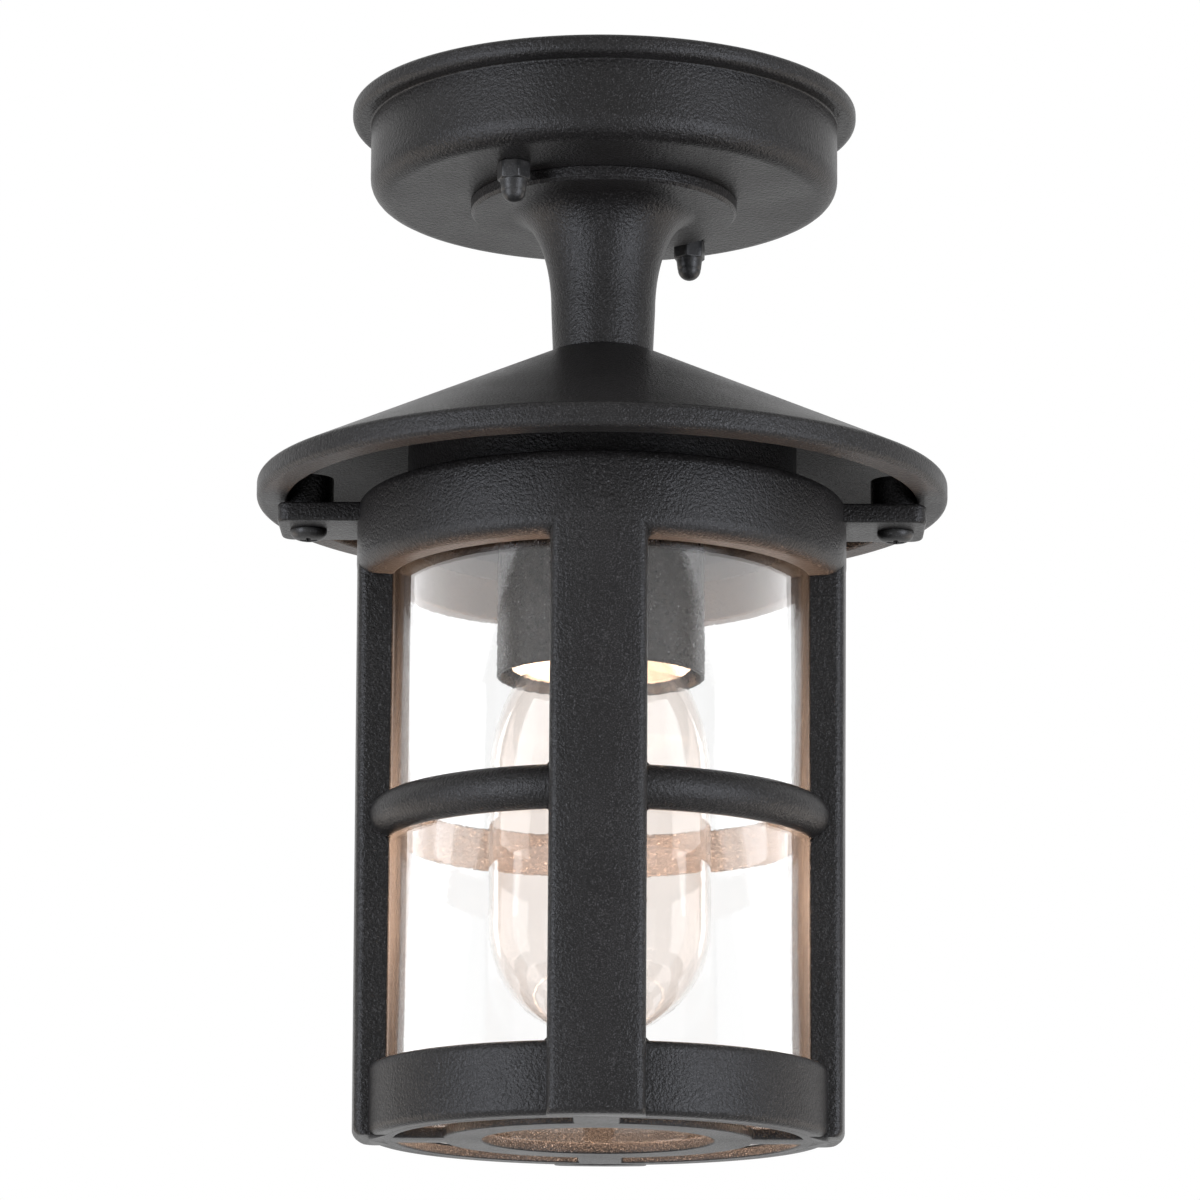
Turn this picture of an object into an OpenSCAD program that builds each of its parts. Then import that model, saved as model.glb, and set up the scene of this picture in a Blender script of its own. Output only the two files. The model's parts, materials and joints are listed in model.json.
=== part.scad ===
// Porch ceiling lantern: a cast ceiling plate, a trumpet stem, a conical roof and a
// four-post cage round a clear glass cylinder, with a screw-in lamp inside.
// Origin: centre of the face that meets the ceiling. +Z is up, -Y is the front,
// and the two ears of the cage lie on the X axis. Lengths are millimetres.

/* [Ceiling plate] */
// Reach of the rolled flange beyond the plate's wall
flange_reach = 5.2; // [4:0.1:8]
// Height of the rolled flange
flange_h = 5.2; // [4:0.1:7]
// Diameter of the plate's wall
plate_d = 129; // [122:0.5:132]
// Depth from the ceiling to the plate's underside
plate_depth = 26.5; // [24:0.5:34]
// Casting wall of the plate
plate_wall = 3; // [2.4:0.1:4]
// Radius of the rounded lower edge
plate_edge_r = 6; // [4:0.5:8]
// Width of the foam gasket's groove in the flange
gasket_w = 3.6; // [2.5:0.1:4.5]
// Depth of the foam gasket's groove
gasket_t = 2; // [1:0.1:3]

/* [Ceiling bars] */
// Thickness of both steel bars
bar_t = 1.8; // [1.5:0.1:2.5]
// Width of both steel bars
bar_w = 18; // [14:0.5:22]
// Length of the bar that is screwed to the ceiling
fixing_bar_l = 112; // [100:1:116]
// Distance between the two fixing slots
slot_spacing = 70; // [60:1:76]
// Width of a fixing slot
slot_w = 5; // [4:0.1:6]
// End-to-end length of a fixing slot
slot_l = 18; // [12:1:20]
// Length of the bar that carries the studs
stud_bar_l = 106; // [100:1:114]
// Direction of the stud bar, measured from +X
stud_angle = 58.3; // [40:0.1:80]
// Distance of each stud from the axis
stud_r = 45.5; // [43:0.5:48]
// Stud diameter
stud_d = 5; // [4:0.5:6]
// Hexagon of the nuts on the studs, across flats
stud_nut_af = 8; // [7.5:0.1:10]
// Height of a lock nut
lock_nut_h = 4; // [3:0.1:5]
// Height of a dome nut's hexagon
dome_hex_h = 5; // [4:0.1:6]
// Height of a dome nut's tapered dome
dome_h = 6.2; // [5:0.1:8]

/* [Stem] */
// Height of the stem between plate and roof
stem_h = 43.4; // [40:0.2:60]
// Diameter of the disc at the top of the stem
disc_d = 73.5; // [66:0.5:78]
// Edge thickness of the disc
disc_t = 3.7; // [3:0.1:5]
// Bevel at the disc's lower edge
disc_bevel = 0.9; // [0.4:0.1:1.5]
// Diameter where the flare leaves the flat of the disc
flare_d = 52; // [46:0.5:58]
// Height over which the flare narrows to the neck
flare_h = 27; // [20:0.5:34]
// Diameter of the neck at the end of the flare
neck_d = 28.6; // [27:0.1:32]
// Diameter of the neck where it meets the roof
neck_end_d = 27.5; // [26:0.1:31]
// Casting wall of the stem
stem_wall = 3.4; // [2.8:0.1:4]

/* [Stem tube] */
// Diameter of the threaded tube
tube_d = 10; // [9:0.5:12]
// Bore of the threaded tube
tube_bore = 8; // [7:0.2:8.4]
// Hexagon of the tube's nuts, across flats
tube_nut_af = 17; // [15:0.5:18]
// Height of the tube's nuts
tube_nut_h = 5; // [4:0.5:5.5]
// Diameter of the tube's washers
tube_washer_d = 22; // [19:0.5:24]
// Thickness of the tube's washers
tube_washer_t = 1.6; // [1.2:0.1:2]
// Length of tube that stands out of the upper nut
tube_stand = 1.4; // [1:0.1:2.4]

/* [Roof] */
// Overhang of the lip beyond the ears
roof_over = 6.2; // [4:0.1:9]
// Slope of the cone
roof_slope = 25; // [22:0.5:26]
// Casting wall of the cone, measured square to it
roof_wall = 3; // [2.4:0.1:3.4]
// Diameter of the flat top that carries the stem
roof_top_d = 29.2; // [28.6:0.1:34]
// Height of the lip's outer face
lip_h = 6.2; // [5.4:0.1:7]
// Width of the lip's flat underside
lip_w = 7.6; // [7:0.1:9]
// Radius of the lip's two outer edges
lip_edge_r = 1.6; // [0.8:0.1:2]
// Radial gap between the glass and the skirt that enters it
skirt_gap = 0.8; // [0.5:0.1:1.5]
// Wall of the skirt
skirt_wall = 3.5; // [2.5:0.1:4]
// Length of the skirt inside the glass
skirt_reach = 9; // [5:0.5:12]
// Inset of the bead that presses on the glass gasket from the glass's outer face
bead_inset = 0.5; // [0.2:0.1:1.5]
// Height of the bead
bead_h = 2.5; // [2:0.1:4]
// Diameter of the bosses that the cage is screwed to
boss_d = 13.4; // [12.8:0.1:15]
// Diameter of the hub round the threaded tube
hub_d = 26; // [22:0.5:28]
// Depth of the hub below the roof's flat top
hub_h = 14; // [12:0.5:18]

/* [Cage] */
// Radial gap between the glass and the cage
glass_gap = 0.9; // [0.5:0.1:1.5]
// Radial thickness of the top ring and of the posts
ring_wall = 9.4; // [8:0.1:11]
// Height of the top ring
ring_h = 22.2; // [18:0.2:26]
// Radius of the top ring's lower outer edge
ring_low_r = 4.5; // [2:0.5:5]
// Radius of the top ring's upper outer edge
ring_top_r = 3; // [1:0.5:4]
// Height of the whole cage, from ring top to the bottom
cage_h = 173.8; // [160:0.2:200]
// Width of a post
post_w = 25.4; // [20:0.2:28]
// Inward draft of the posts from top to bottom
post_draft = 1; // [0:0.1:1.6]
// Radius of a post's outer vertical edges
post_edge_r = 2.6; // [1:0.1:3]
// Radius of the half-round middle ring's section
mid_ring_r = 5.9; // [5:0.1:6.4]
// Height by which the top ring stands up behind the roof's lip
ring_tuck = 0.8; // [0.4:0.1:1.5]
// Drop from the ring's top to the middle ring's centre
mid_ring_drop = 88; // [70:1:100]
// Radial thickness of the bottom band
band_wall = 4.8; // [4:0.1:7]
// Height of the bottom band
band_h = 19.4; // [14:0.2:24]
// Radius of the band's outer edges
band_edge_r = 2.2; // [1:0.1:2.6]
// Thickness of the bottom plate
base_t = 3; // [2.4:0.1:4]
// Radial gap round the lamp in the hole that it passes through
lamp_gap = 1; // [0.7:0.1:4]
// Radial width of the arc slots
arc_slot_w = 13; // [8:0.5:15]
// Margin between the arc slots and the cage's bore
arc_slot_margin = 2.7; // [2:0.1:5]
// Width of the spokes between the arc slots
spoke_w = 12; // [8:0.5:16]

/* [Ears and screws] */
// Distance of each cage screw from the top ring's outer face
ear_screw_out = 13.4; // [11:0.2:16]
// Length of an ear beyond its screw
ear_end = 8; // [7:0.5:10]
// Width of an ear
ear_w = 25; // [20:0.5:28]
// Thickness of an ear
ear_t = 5.3; // [4:0.1:6]
// Radius of an ear's corners
ear_corner_r = 3.5; // [2:0.5:5]
// Drop from the ring's top to the ear's top
ear_drop = 2; // [1:0.1:4]
// Diameter of the cage screws
screw_d = 5; // [4:0.5:6]
// Diameter of a screw's pan head
screw_head_d = 10; // [8:0.2:11]
// Height of a screw's pan head
screw_head_h = 3; // [2.4:0.1:4]
// Thread length of a cage screw in its boss
screw_bite = 8; // [5:0.5:9]

/* [Glass] */
// Outer diameter of the glass cylinder
glass_d = 112.6; // [111.4:0.1:113]
// Wall of the glass cylinder
glass_wall = 2.4; // [2.2:0.1:3.4]
// Thickness of the gasket on top of the glass
top_gasket_t = 2; // [1:0.1:3]
// Thickness of the gasket below the glass
low_gasket_t = 1.5; // [1:0.1:2.5]

/* [Lampholder] */
// Outer diameter of the black cup
cup_d = 56; // [52:0.5:60]
// Length of the cup below the hub
cup_h = 76.6; // [72:0.2:84]
// Sheet thickness of the cup
cup_wall = 1.2; // [0.8:0.1:1.6]
// Radius of the cup's shoulder
cup_shoulder_r = 7; // [4:0.5:9]
// Diameter of the ceramic holder's upper part
holder_top_d = 36; // [34:0.5:40]
// Diameter of the ceramic holder round its socket
holder_d = 40; // [38:0.5:42]
// Inner diameter of the ceramic holder round its socket
holder_bore = 33; // [31:0.5:35]
// Height of the ceramic ring on the holder's lower end, which fills the cup's mouth
mouth_h = 11; // [9:0.5:13]
// Depth of the ring's face inside the cup's mouth
mouth_inset = 2.4; // [1.5:0.1:4]
// Width of the ring's flat face
mouth_face = 2.6; // [2:0.1:3]
// Radial gap between the lamp's shoulder and the ring
bell_gap = 1.3; // [1:0.1:1.6]
// Gap between the lower tube nut and the holder
holder_gap = 5; // [4:0.5:8]
// Height of the holder's threaded neck on the tube
holder_neck_h = 6; // [5:0.5:8]
// Length of the neck's thread that the tube leaves free
holder_stop = 2; // [1:0.5:3]
// Height of the wiring chamber in the holder
chamber_h = 9; // [8:0.5:12]
// Thickness of the web that carries the contacts
web_t = 5; // [4:0.5:6]
// Depth of the lamp socket below the web
socket_h = 33; // [31:0.5:36]
// Inner diameter of the brass screw shell
shell_bore = 26.7; // [26.7:0.1:27.2]
// Sheet thickness of the screw shell
shell_wall = 0.5; // [0.4:0.05:0.7]
// Length of the screw shell
shell_h = 30; // [28:0.5:31]
// Diameter of the centre contact's pin
pin_d = 3; // [2.4:0.1:3.4]
// Diameter of the centre contact's head
contact_d = 6.4; // [5.5:0.1:7]
// Thickness of the centre contact's head
contact_t = 1.2; // [1:0.1:2]
// Height left for the contact spring
spring_h = 5.3; // [5:0.1:6]

/* [Lamp] */
// Greatest diameter of the lamp
lamp_d = 60; // [56:0.5:60.4]
// Length of the lamp from its contact to its far end
lamp_l = 135; // [130:0.5:140]
// Diameter over the cap's thread
cap_d = 26.1; // [25.9:0.05:26.1]
// Depth of the cap's rolled thread grooves
cap_groove = 0.7; // [0.4:0.05:0.9]
// Pitch of the cap's thread
cap_pitch = 3.629; // [3.6:0.001:3.65]
// Length of the whole cap, with insulator and contact
cap_l = 27; // [26:0.5:28]
// Diameter of the lamp's neck where it enters the cap
lamp_neck_d = 24.6; // [23:0.1:24.8]
// Length over which the neck swells to the full diameter
shoulder_l = 42; // [36:1:48]
// Length of the cap's insulator and contact above its metal shell
cap_tip_l = 4.6; // [4:0.1:5.2]
// Distance from the cap's edge to the glass press that holds the leads
press_drop = 24; // [18:1:30]
// Wall of the lamp's glass
lamp_wall = 0.8; // [0.6:0.1:1.2]
// Radius of the filament's arch
filament_r = 11; // [8:0.5:14]
// Depth of the filament below the cap's edge
filament_drop = 64; // [56:1:70]
// Height of the supports' root above the filament
support_rise = 11; // [8:1:14]

/* [Wiring] */
// Diameter of an insulated wire
wire_d = 2.2; // [2:0.1:2.4]
// Length of the terminal block
block_l = 30; // [28:0.5:32]
// Width of the terminal block
block_w = 16; // [14:0.5:17]
// Height of the terminal block
block_h = 13; // [12.6:0.2:14]
// Spacing of the block's poles
pole_pitch = 9; // [8.5:0.1:9.5]

/* [Fits] */
// Gap between cast and pressed pieces that nest
nest_gap = 0.3; // [0.2:0.05:0.5]
// Radial gap in threads and close holes
thread_gap = 0.05; // [0.03:0.01:0.1]
// Radial gap of the contact's pin in its bore
slide_gap = 0.06; // [0.03:0.01:0.1]

/* [Hidden] */
$fn = 96;
eps = 0.01;

// Diameters and reaches that follow from the plate's wall and from the glass
flange_d = plate_d + 2 * flange_reach;
cage_bore = glass_d + 2 * glass_gap;
ring_d = cage_bore + 2 * ring_wall;
band_d = cage_bore + 2 * band_wall;
ear_screw_r = ring_d / 2 + ear_screw_out;
ear_reach = ear_screw_r + ear_end;
roof_d = 2 * (ear_reach + roof_over);
skirt_d = glass_d - 2 * (glass_wall + skirt_gap);
bead_d = glass_d - 2 * bead_inset;
lamp_hole_d = lamp_d + 2 * lamp_gap;
slot_out_d = cage_bore - 2 * arc_slot_margin;
slot_in_d = slot_out_d - 2 * arc_slot_w;

// Heights, from the ceiling down
plate_floor_z = plate_wall - plate_depth;
roof_z = -plate_depth - stem_h;
hub_z = roof_z - hub_h;
lip_slope_z = roof_z - (roof_d / 2 - lip_edge_r - roof_top_d / 2) * tan(roof_slope);
lip_top_z = lip_slope_z - lip_edge_r * (1 - sin(roof_slope)) / 2;
lip_low_z = lip_top_z - lip_h;
ring_top_z = lip_low_z + ring_tuck;
ear_top_z = ring_top_z - ear_drop;
mid_ring_z = ring_top_z - mid_ring_drop;
cage_low_z = ring_top_z - cage_h;
base_top_z = cage_low_z + base_t;
glass_low_z = base_top_z + low_gasket_t;
glass_top_z = lip_low_z - top_gasket_t;
skirt_low_z = glass_top_z - skirt_reach;

// The threaded tube and what it clamps
top_nut_z = plate_floor_z + tube_washer_t;
tube_top_z = top_nut_z + tube_nut_h + tube_stand;
low_washer_z = hub_z - cup_wall;
low_nut_z = low_washer_z - tube_washer_t;
holder_top_z = low_nut_z - tube_nut_h - holder_gap;
chamber_z = holder_top_z - holder_neck_h;
tube_low_z = chamber_z + holder_stop;
web_z = chamber_z - chamber_h;
socket_z = web_z - web_t;
socket_low_z = socket_z - socket_h;
mouth_z = hub_z - cup_h + mouth_inset;

// The lamp and its contact
contact_z = socket_z - spring_h - contact_t;
lamp_top_z = contact_z - thread_gap;
cap_low_z = lamp_top_z - cap_l;
cap_top_z = lamp_top_z - cap_tip_l;
lamp_low_z = lamp_top_z - lamp_l;
filament_z = cap_low_z - filament_drop;
press_z = cap_low_z - press_drop;
tip_z = filament_z + support_rise;

// Radii that several pieces share
tube_hole_r = tube_d / 2 + 0.2;
stud_hole_r = stud_d / 2 + nest_gap;
screw_hole_r = screw_d / 2 + nest_gap;
lip_in_r = roof_d / 2 - lip_w - lip_edge_r / 2;
flange_in_r = plate_d / 2 - plate_wall;
gasket_in_r = flange_d / 2 - 2.4 - gasket_w;
wall_drop = roof_wall / cos(roof_slope);

// Spring wire, spring radius and turns of the contact spring
spring_wire_d = 0.5;
spring_coil_r = pin_d / 2 + slide_gap + 0.25 + spring_wire_d / 2;
spring_turns = 4;

// Terminal block: its centre in plan, and the height of its wire holes
block_x = -34;
block_y = 4;
block_foot = 1;
pole_h = 5;
pole_z = plate_floor_z + block_foot + pole_h;
sleeve_r = 2.4;
sleeve_bore_r = wire_d / 2 + 0.2;
block_screw_r = 1.5;

// Earth point: its centre in plan and the boss that carries it
earth_x = 30;
earth_y = 14;
earth_boss_r = 5;
earth_boss_h = 5;
earth_screw_d = 4;
earth_boss_z = plate_floor_z + earth_boss_h;
lug_t = 0.8;
earth_wire_z = earth_boss_z + lug_t + wire_d / 2 + eps;

// Terminals of the lampholder
terminal_x = 10;
terminal_s = 6;
terminal_top_z = web_z + terminal_s;
terminal_in_x = terminal_x - terminal_s / 2 - eps;
bridge_t = 0.6;

// Routes of the wires: the length inside the block, the straight start outside it, and
// how far the slack rises and swings out
wire_grip = 3;
wire_out = 5;
wire_rise = 8;
earth_rise = 5;
earth_swing = 8;
tube_run_top = tube_top_z + 2;
tube_run_low = tube_low_z - 1;
wire_side = wire_d / 2 + 0.35;
lug_reach = 8.5;
lug_w = 3.2;
lug_x = earth_x - lug_reach;
live_route = lamp_route(-1, -1);
neutral_route = lamp_route(0, 1);
earth_route = concat([block_point(1, -wire_grip)],
  slack(block_point(1, wire_out), [lug_x + 1, earth_y, earth_wire_z], earth_rise, earth_swing, 8),
  [[lug_x + wire_grip, earth_y, earth_wire_z]]);

// A point at the height of a pole's bore, out from the block's side
function block_point(pole, out) =
  [block_x + block_w / 2 + out, block_y + pole * pole_pitch, pole_z];
// A slack stretch from a to b, arched upwards and swung out sideways
function slack(a, b, rise, swing, steps) = [for (i = [0 : steps]) let (t = i / steps)
  a + (b - a) * t + [0, swing * sin(180 * t), rise * sin(180 * t)]];
// From the block, over the tube's mouth, down the tube and out to a holder terminal
function lamp_route(pole, side) = concat([block_point(pole, -wire_grip)],
  slack(block_point(pole, wire_out), [0, side * wire_side, tube_run_top], wire_rise, 0, 8),
  run([0, side * wire_side, tube_run_top], [0, side * wire_side, tube_run_low], 13),
  [[-side * terminal_in_x * 0.45, side * wire_side, chamber_z - chamber_h * 0.3],
   [-side * (terminal_in_x - wire_d / 2), 0, web_z + terminal_s / 2],
   [-side * terminal_in_x, 0, web_z + terminal_s / 2]]);

// Evenly spaced points from a to b, without a itself
function run(a, b, steps) = [for (i = [1 : steps]) a + (b - a) * i / steps];
function unit(v) = v / norm(v);
// Direction of a route at point i
function heading(p, i) = unit(p[min(i + 1, len(p) - 1)] - p[max(i - 1, 0)]);
// One ring of a swept tube: a circle square to the heading
function tube_ring(c, t, side, r, n) =
  let (u = unit(cross(t, side)), v = cross(t, u))
  [for (k = [0 : n - 1]) c + r * (cos(360 * k / n) * u + sin(360 * k / n) * v)];

// A round wire swept along a route; side is any direction the route never takes
module swept(route, r, n, side) {
  rings = len(route);
  points = [for (i = [0 : rings - 1]) each tube_ring(route[i], heading(route, i), side, r, n)];
  walls = [for (i = [0 : rings - 2], k = [0 : n - 1], half = [0, 1])
    let (a = i * n + k, b = i * n + (k + 1) % n)
    half == 0 ? [a, b, b + n] : [a, b + n, a + n]];
  caps = [for (k = [1 : n - 2], end = [0, 1])
    end == 0 ? [0, k + 1, k] : [(rings - 1) * n, (rings - 1) * n + k, (rings - 1) * n + k + 1]];
  polyhedron(points, concat(walls, caps), convexity = 8);
}

// Section helpers: x is the radius and y the height
module cut_corner(x, y, sx, sy, r) {
  difference() {
    translate([x + (sx > 0 ? -eps : -r), y + (sy > 0 ? -eps : -r)]) square(r + eps);
    translate([x + sx * r, y + sy * r]) circle(r);
  }
}

// Rectangle with its own radius at each corner; zero leaves a corner sharp
module soft_box(x0, y0, x1, y1, low_in = 0, low_out = 0, top_out = 0, top_in = 0) {
  difference() {
    translate([x0, y0]) square([x1 - x0, y1 - y0]);
    if (low_in > 0) cut_corner(x0, y0, 1, 1, low_in);
    if (low_out > 0) cut_corner(x1, y0, -1, 1, low_out);
    if (top_out > 0) cut_corner(x1, y1, -1, -1, top_out);
    if (top_in > 0) cut_corner(x0, y1, 1, -1, top_in);
  }
}

module tube(r_out, r_in, z_low, z_top) {
  translate([0, 0, z_low]) difference() {
    cylinder(r = r_out, h = z_top - z_low);
    translate([0, 0, -eps]) cylinder(r = r_in, h = z_top - z_low + 2 * eps);
  }
}

module bore(r, z_low, z_top) {
  translate([0, 0, z_low]) cylinder(r = r, h = z_top - z_low);
}

module hex(af, z_low, h) {
  translate([0, 0, z_low]) cylinder(d = af / cos(30), h = h, $fn = 6);
}

module at_studs() {
  for (turn = [0, 180]) rotate(stud_angle + turn) translate([stud_r, 0, 0]) children();
}

module at_ears() {
  for (side = [-1, 1]) translate([side * ear_screw_r, 0, 0]) children();
}

// ---- Ceiling bars, plate and their fasteners ----

module ceiling_gasket() {
  color("#2b2b2d") tube(gasket_in_r + gasket_w, gasket_in_r, -gasket_t, 0);
}

module fixing_slot(x) {
  translate([x, 0, -bar_t - eps]) linear_extrude(bar_t + 2 * eps) {
    square([slot_l - slot_w, slot_w], center = true);
    for (side = [-1, 1]) translate([side * (slot_l - slot_w) / 2, 0]) circle(d = slot_w);
  }
}

pivot_r = 4;
pivot_head_t = 1.2;

// The bar that is screwed to the ceiling, with the pivot that is formed out of it
module fixing_bar() {
  color("#b9bcc0") difference() {
    union() {
      translate([-fixing_bar_l / 2, -bar_w / 2, -bar_t]) cube([fixing_bar_l, bar_w, bar_t]);
      bore(pivot_r, -2 * bar_t - pivot_head_t, -bar_t + eps);
      bore(pivot_r + 1.6, -2 * bar_t - pivot_head_t, -2 * bar_t);
    }
    for (side = [-1, 1]) fixing_slot(side * slot_spacing / 2);
  }
}

module stud_bar() {
  color("#b9bcc0") difference() {
    rotate(stud_angle) translate([-stud_bar_l / 2, -bar_w / 2, -2 * bar_t])
      cube([stud_bar_l, bar_w, bar_t]);
    bore(pivot_r + thread_gap, -2 * bar_t - 1, -bar_t + 1);
    at_studs() bore(stud_d / 2 + thread_gap, -2 * bar_t - 1, -bar_t + 1);
  }
}

stud_low_z = -plate_depth - dome_hex_h - dome_h / 4;

module bar_studs() {
  color("#c3c6c9") at_studs() bore(stud_d / 2, stud_low_z, -bar_t);
}

module stud_lock_nuts() {
  color("#c3c6c9") at_studs() difference() {
    hex(stud_nut_af, -2 * bar_t - lock_nut_h, lock_nut_h);
    bore(stud_d / 2 + thread_gap, -2 * bar_t - lock_nut_h - 1, -2 * bar_t + 1);
  }
}

// Half section of the plate's outside: rolled flange, groove, wall and rounded edge
module plate_section() {
  soft_box(0, -plate_depth, plate_d / 2, 0, low_out = plate_edge_r);
  soft_box(plate_d / 2 - 1, -flange_h, flange_d / 2, 0,
    low_out = flange_h / 2 - eps, top_out = flange_h / 3);
}

module ceiling_plate() {
  color("#2a2b2e") difference() {
    union() {
      difference() {
        rotate_extrude() plate_section();
        rotate_extrude() soft_box(0, plate_floor_z, flange_in_r, 1, low_out = plate_edge_r - plate_wall);
      }
      translate([earth_x, earth_y]) bore(earth_boss_r, plate_floor_z - eps, earth_boss_z);
      translate([block_x, block_y + pole_pitch / 2])
        bore(block_screw_r + 2.5, plate_floor_z - eps, plate_floor_z + block_foot);
      translate([block_x, block_y - pole_pitch / 2])
        bore(block_screw_r + 2.5, plate_floor_z - eps, plate_floor_z + block_foot);
    }
    tube(gasket_in_r + gasket_w + thread_gap, gasket_in_r - thread_gap, -gasket_t, 1);
    bore(tube_hole_r, -plate_depth - 1, plate_floor_z + 1);
    at_studs() bore(stud_hole_r, -plate_depth - 1, plate_floor_z + 1);
    translate([earth_x, earth_y])
      bore(earth_screw_d / 2 + thread_gap, earth_boss_z - 6.5, earth_boss_z + 1);
    translate([block_x, block_y + pole_pitch / 2])
      bore(block_screw_r + thread_gap, plate_floor_z - 1.8, plate_floor_z + block_foot + 1);
  }
}

// Dome nuts: a hexagon, then a tapered cap with a rounded end over a blind thread
module dome_nuts() {
  dome_r = stud_nut_af * 0.46;
  tip_r = dome_r * 0.62;
  color("#232426") at_studs() difference() {
    union() {
      hex(stud_nut_af, -plate_depth - dome_hex_h, dome_hex_h);
      translate([0, 0, -plate_depth - dome_hex_h - dome_h]) rotate_extrude()
        intersection() {
          polygon([[0, 0], [dome_r * 0.86, 0], [dome_r, dome_h + eps], [0, dome_h + eps]]);
          soft_box(0, 0, dome_r + 1, dome_h + 1, low_out = tip_r + 1);
        }
    }
    bore(stud_d / 2 + thread_gap, stud_low_z - 0.3, -plate_depth + 1);
  }
}

// ---- Stem and threaded tube ----

stem_top_z = -plate_depth;
flare_z = stem_top_z - disc_t;
seal_r = disc_d / 2 - 5;
seal_w = 3;
seal_t = 1.5;
flare_steps = 14;

// The flare is a quarter of an ellipse: level at the disc, upright at the neck
function flare_r(t) = neck_d / 2 + (flare_d - neck_d) / 2 * (1 - sin(t));
function flare_y(t) = flare_z - flare_h * (1 - cos(t));

module stem_section(shrink) {
  polygon(concat(
    [[0, roof_z - shrink], [neck_end_d / 2 - shrink, roof_z - shrink]],
    [for (i = [0 : flare_steps]) let (t = 90 - 90 * i / flare_steps)
      [flare_r(t) - shrink, flare_y(t)]],
    [[0, flare_z]]));
}

module stem() {
  color("#2a2b2e") difference() {
    union() {
      rotate_extrude() stem_section(0);
      rotate_extrude() polygon([[0, flare_z], [disc_d / 2 - disc_bevel, flare_z],
        [disc_d / 2, flare_z + disc_bevel], [disc_d / 2, stem_top_z], [0, stem_top_z]]);
    }
    difference() {
      rotate_extrude() stem_section(stem_wall);
      bore(disc_d, roof_z - stem_wall - 1, roof_z + 6);
      bore(disc_d, flare_z - 2, flare_z + 1);
    }
    bore(tube_hole_r, roof_z - 1, stem_top_z + 1);
    tube(seal_r + seal_w / 2, seal_r - seal_w / 2, stem_top_z - seal_t, stem_top_z + 1);
  }
}

module stem_seal() {
  color("#1c1c1d") tube(seal_r + seal_w / 2 - thread_gap, seal_r - seal_w / 2 + thread_gap,
    stem_top_z - seal_t, stem_top_z);
}

module stem_tube() {
  color("#c8b46a") tube(tube_d / 2, tube_bore / 2, tube_low_z, tube_top_z);
}

// Plastic bush over the tube's upper end, so that the wires don't rub on its thread
bush_h = 3;

module tube_bush() {
  color("#e8e6df") difference() {
    rotate_extrude() soft_box(0, tube_top_z - bush_h / 4, tube_d / 2 + 1.2, tube_top_z + bush_h / 3,
      top_out = 0.8);
    bore(tube_d / 2 + thread_gap, tube_top_z - bush_h, tube_top_z);
    bore(tube_bore / 2 - 0.2, tube_top_z - 1, tube_top_z + bush_h);
  }
}

module tube_nut(z) {
  difference() {
    hex(tube_nut_af, z, tube_nut_h);
    bore(tube_d / 2 + thread_gap, z - 1, z + tube_nut_h + 1);
  }
}

module tube_top_nut() {
  color("#c3c6c9") tube_nut(top_nut_z);
}

module tube_top_washer() {
  color("#c3c6c9") tube(tube_washer_d / 2, tube_hole_r, plate_floor_z, top_nut_z);
}

module tube_bottom_washer() {
  color("#c3c6c9") tube(tube_washer_d / 2, tube_hole_r, low_nut_z, low_washer_z);
}

module tube_bottom_nut() {
  color("#c3c6c9") tube_nut(low_nut_z - tube_nut_h);
}

// ---- Roof ----

function cone_z(r) = roof_z - (r - roof_top_d / 2) * tan(roof_slope);
function under_z(r) = cone_z(r) - wall_drop;

// Half section of the roof: cone, rounded lip, skirt with its bead, and hub
module roof_section() {
  skirt_r = skirt_d / 2;
  skirt_in_r = skirt_r - skirt_wall;
  lip_r = roof_d / 2;
  lip_start_r = lip_r - lip_edge_r;
  polygon([[0, roof_z], [roof_top_d / 2, roof_z], [lip_start_r, cone_z(lip_start_r)],
    [lip_start_r, under_z(lip_start_r)], [hub_d / 2 - 1, under_z(hub_d / 2 - 1)], [0, roof_z - 6]]);
  difference() {
    soft_box(lip_in_r, lip_low_z, lip_r, cone_z(lip_start_r),
      low_out = lip_edge_r, top_out = lip_edge_r);
    polygon([[lip_in_r - 1, cone_z(lip_in_r - 1)], [lip_start_r, cone_z(lip_start_r)],
      [lip_start_r, 0], [lip_in_r - 1, 0]]);
  }
  translate([skirt_in_r, skirt_low_z])
    square([skirt_wall, under_z(skirt_in_r) + 1 - skirt_low_z]);
  translate([skirt_r - 1, lip_low_z]) square([bead_d / 2 - skirt_r + 1, bead_h]);
  soft_box(0, hub_z, hub_d / 2, roof_z - 2, low_out = 1);
}

// The space under the cone's mid surface, which ends the bosses inside the wall
module below_cone() {
  reach = roof_d / 2 - lip_edge_r;
  rotate_extrude() polygon([[0, ear_top_z], [reach, ear_top_z],
    [reach, cone_z(reach) - wall_drop / 2], [0, cone_z(0) - wall_drop / 2]]);
}

module roof() {
  color("#2a2b2e") difference() {
    union() {
      rotate_extrude() roof_section();
      intersection() {
        at_ears() bore(boss_d / 2, ear_top_z, roof_z);
        below_cone();
      }
    }
    bore(tube_hole_r, hub_z - 1, roof_z + 1);
    at_ears() bore(screw_d / 2 + thread_gap, ear_top_z - 1, ear_top_z + screw_bite + 0.6);
  }
}

// ---- Lampholder ----

module cup_shape(r, z_low, z_top, shoulder) {
  rotate_extrude() soft_box(0, z_low, r, z_top, top_out = shoulder);
}

module lampholder_cup() {
  color("#1d1e20") difference() {
    cup_shape(cup_d / 2, hub_z - cup_h, hub_z, cup_shoulder_r);
    cup_shape(cup_d / 2 - cup_wall, hub_z - cup_h - 1, hub_z - cup_wall, cup_shoulder_r - cup_wall);
    bore(tube_hole_r, hub_z - cup_wall - 1, hub_z + 1);
  }
}

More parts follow.
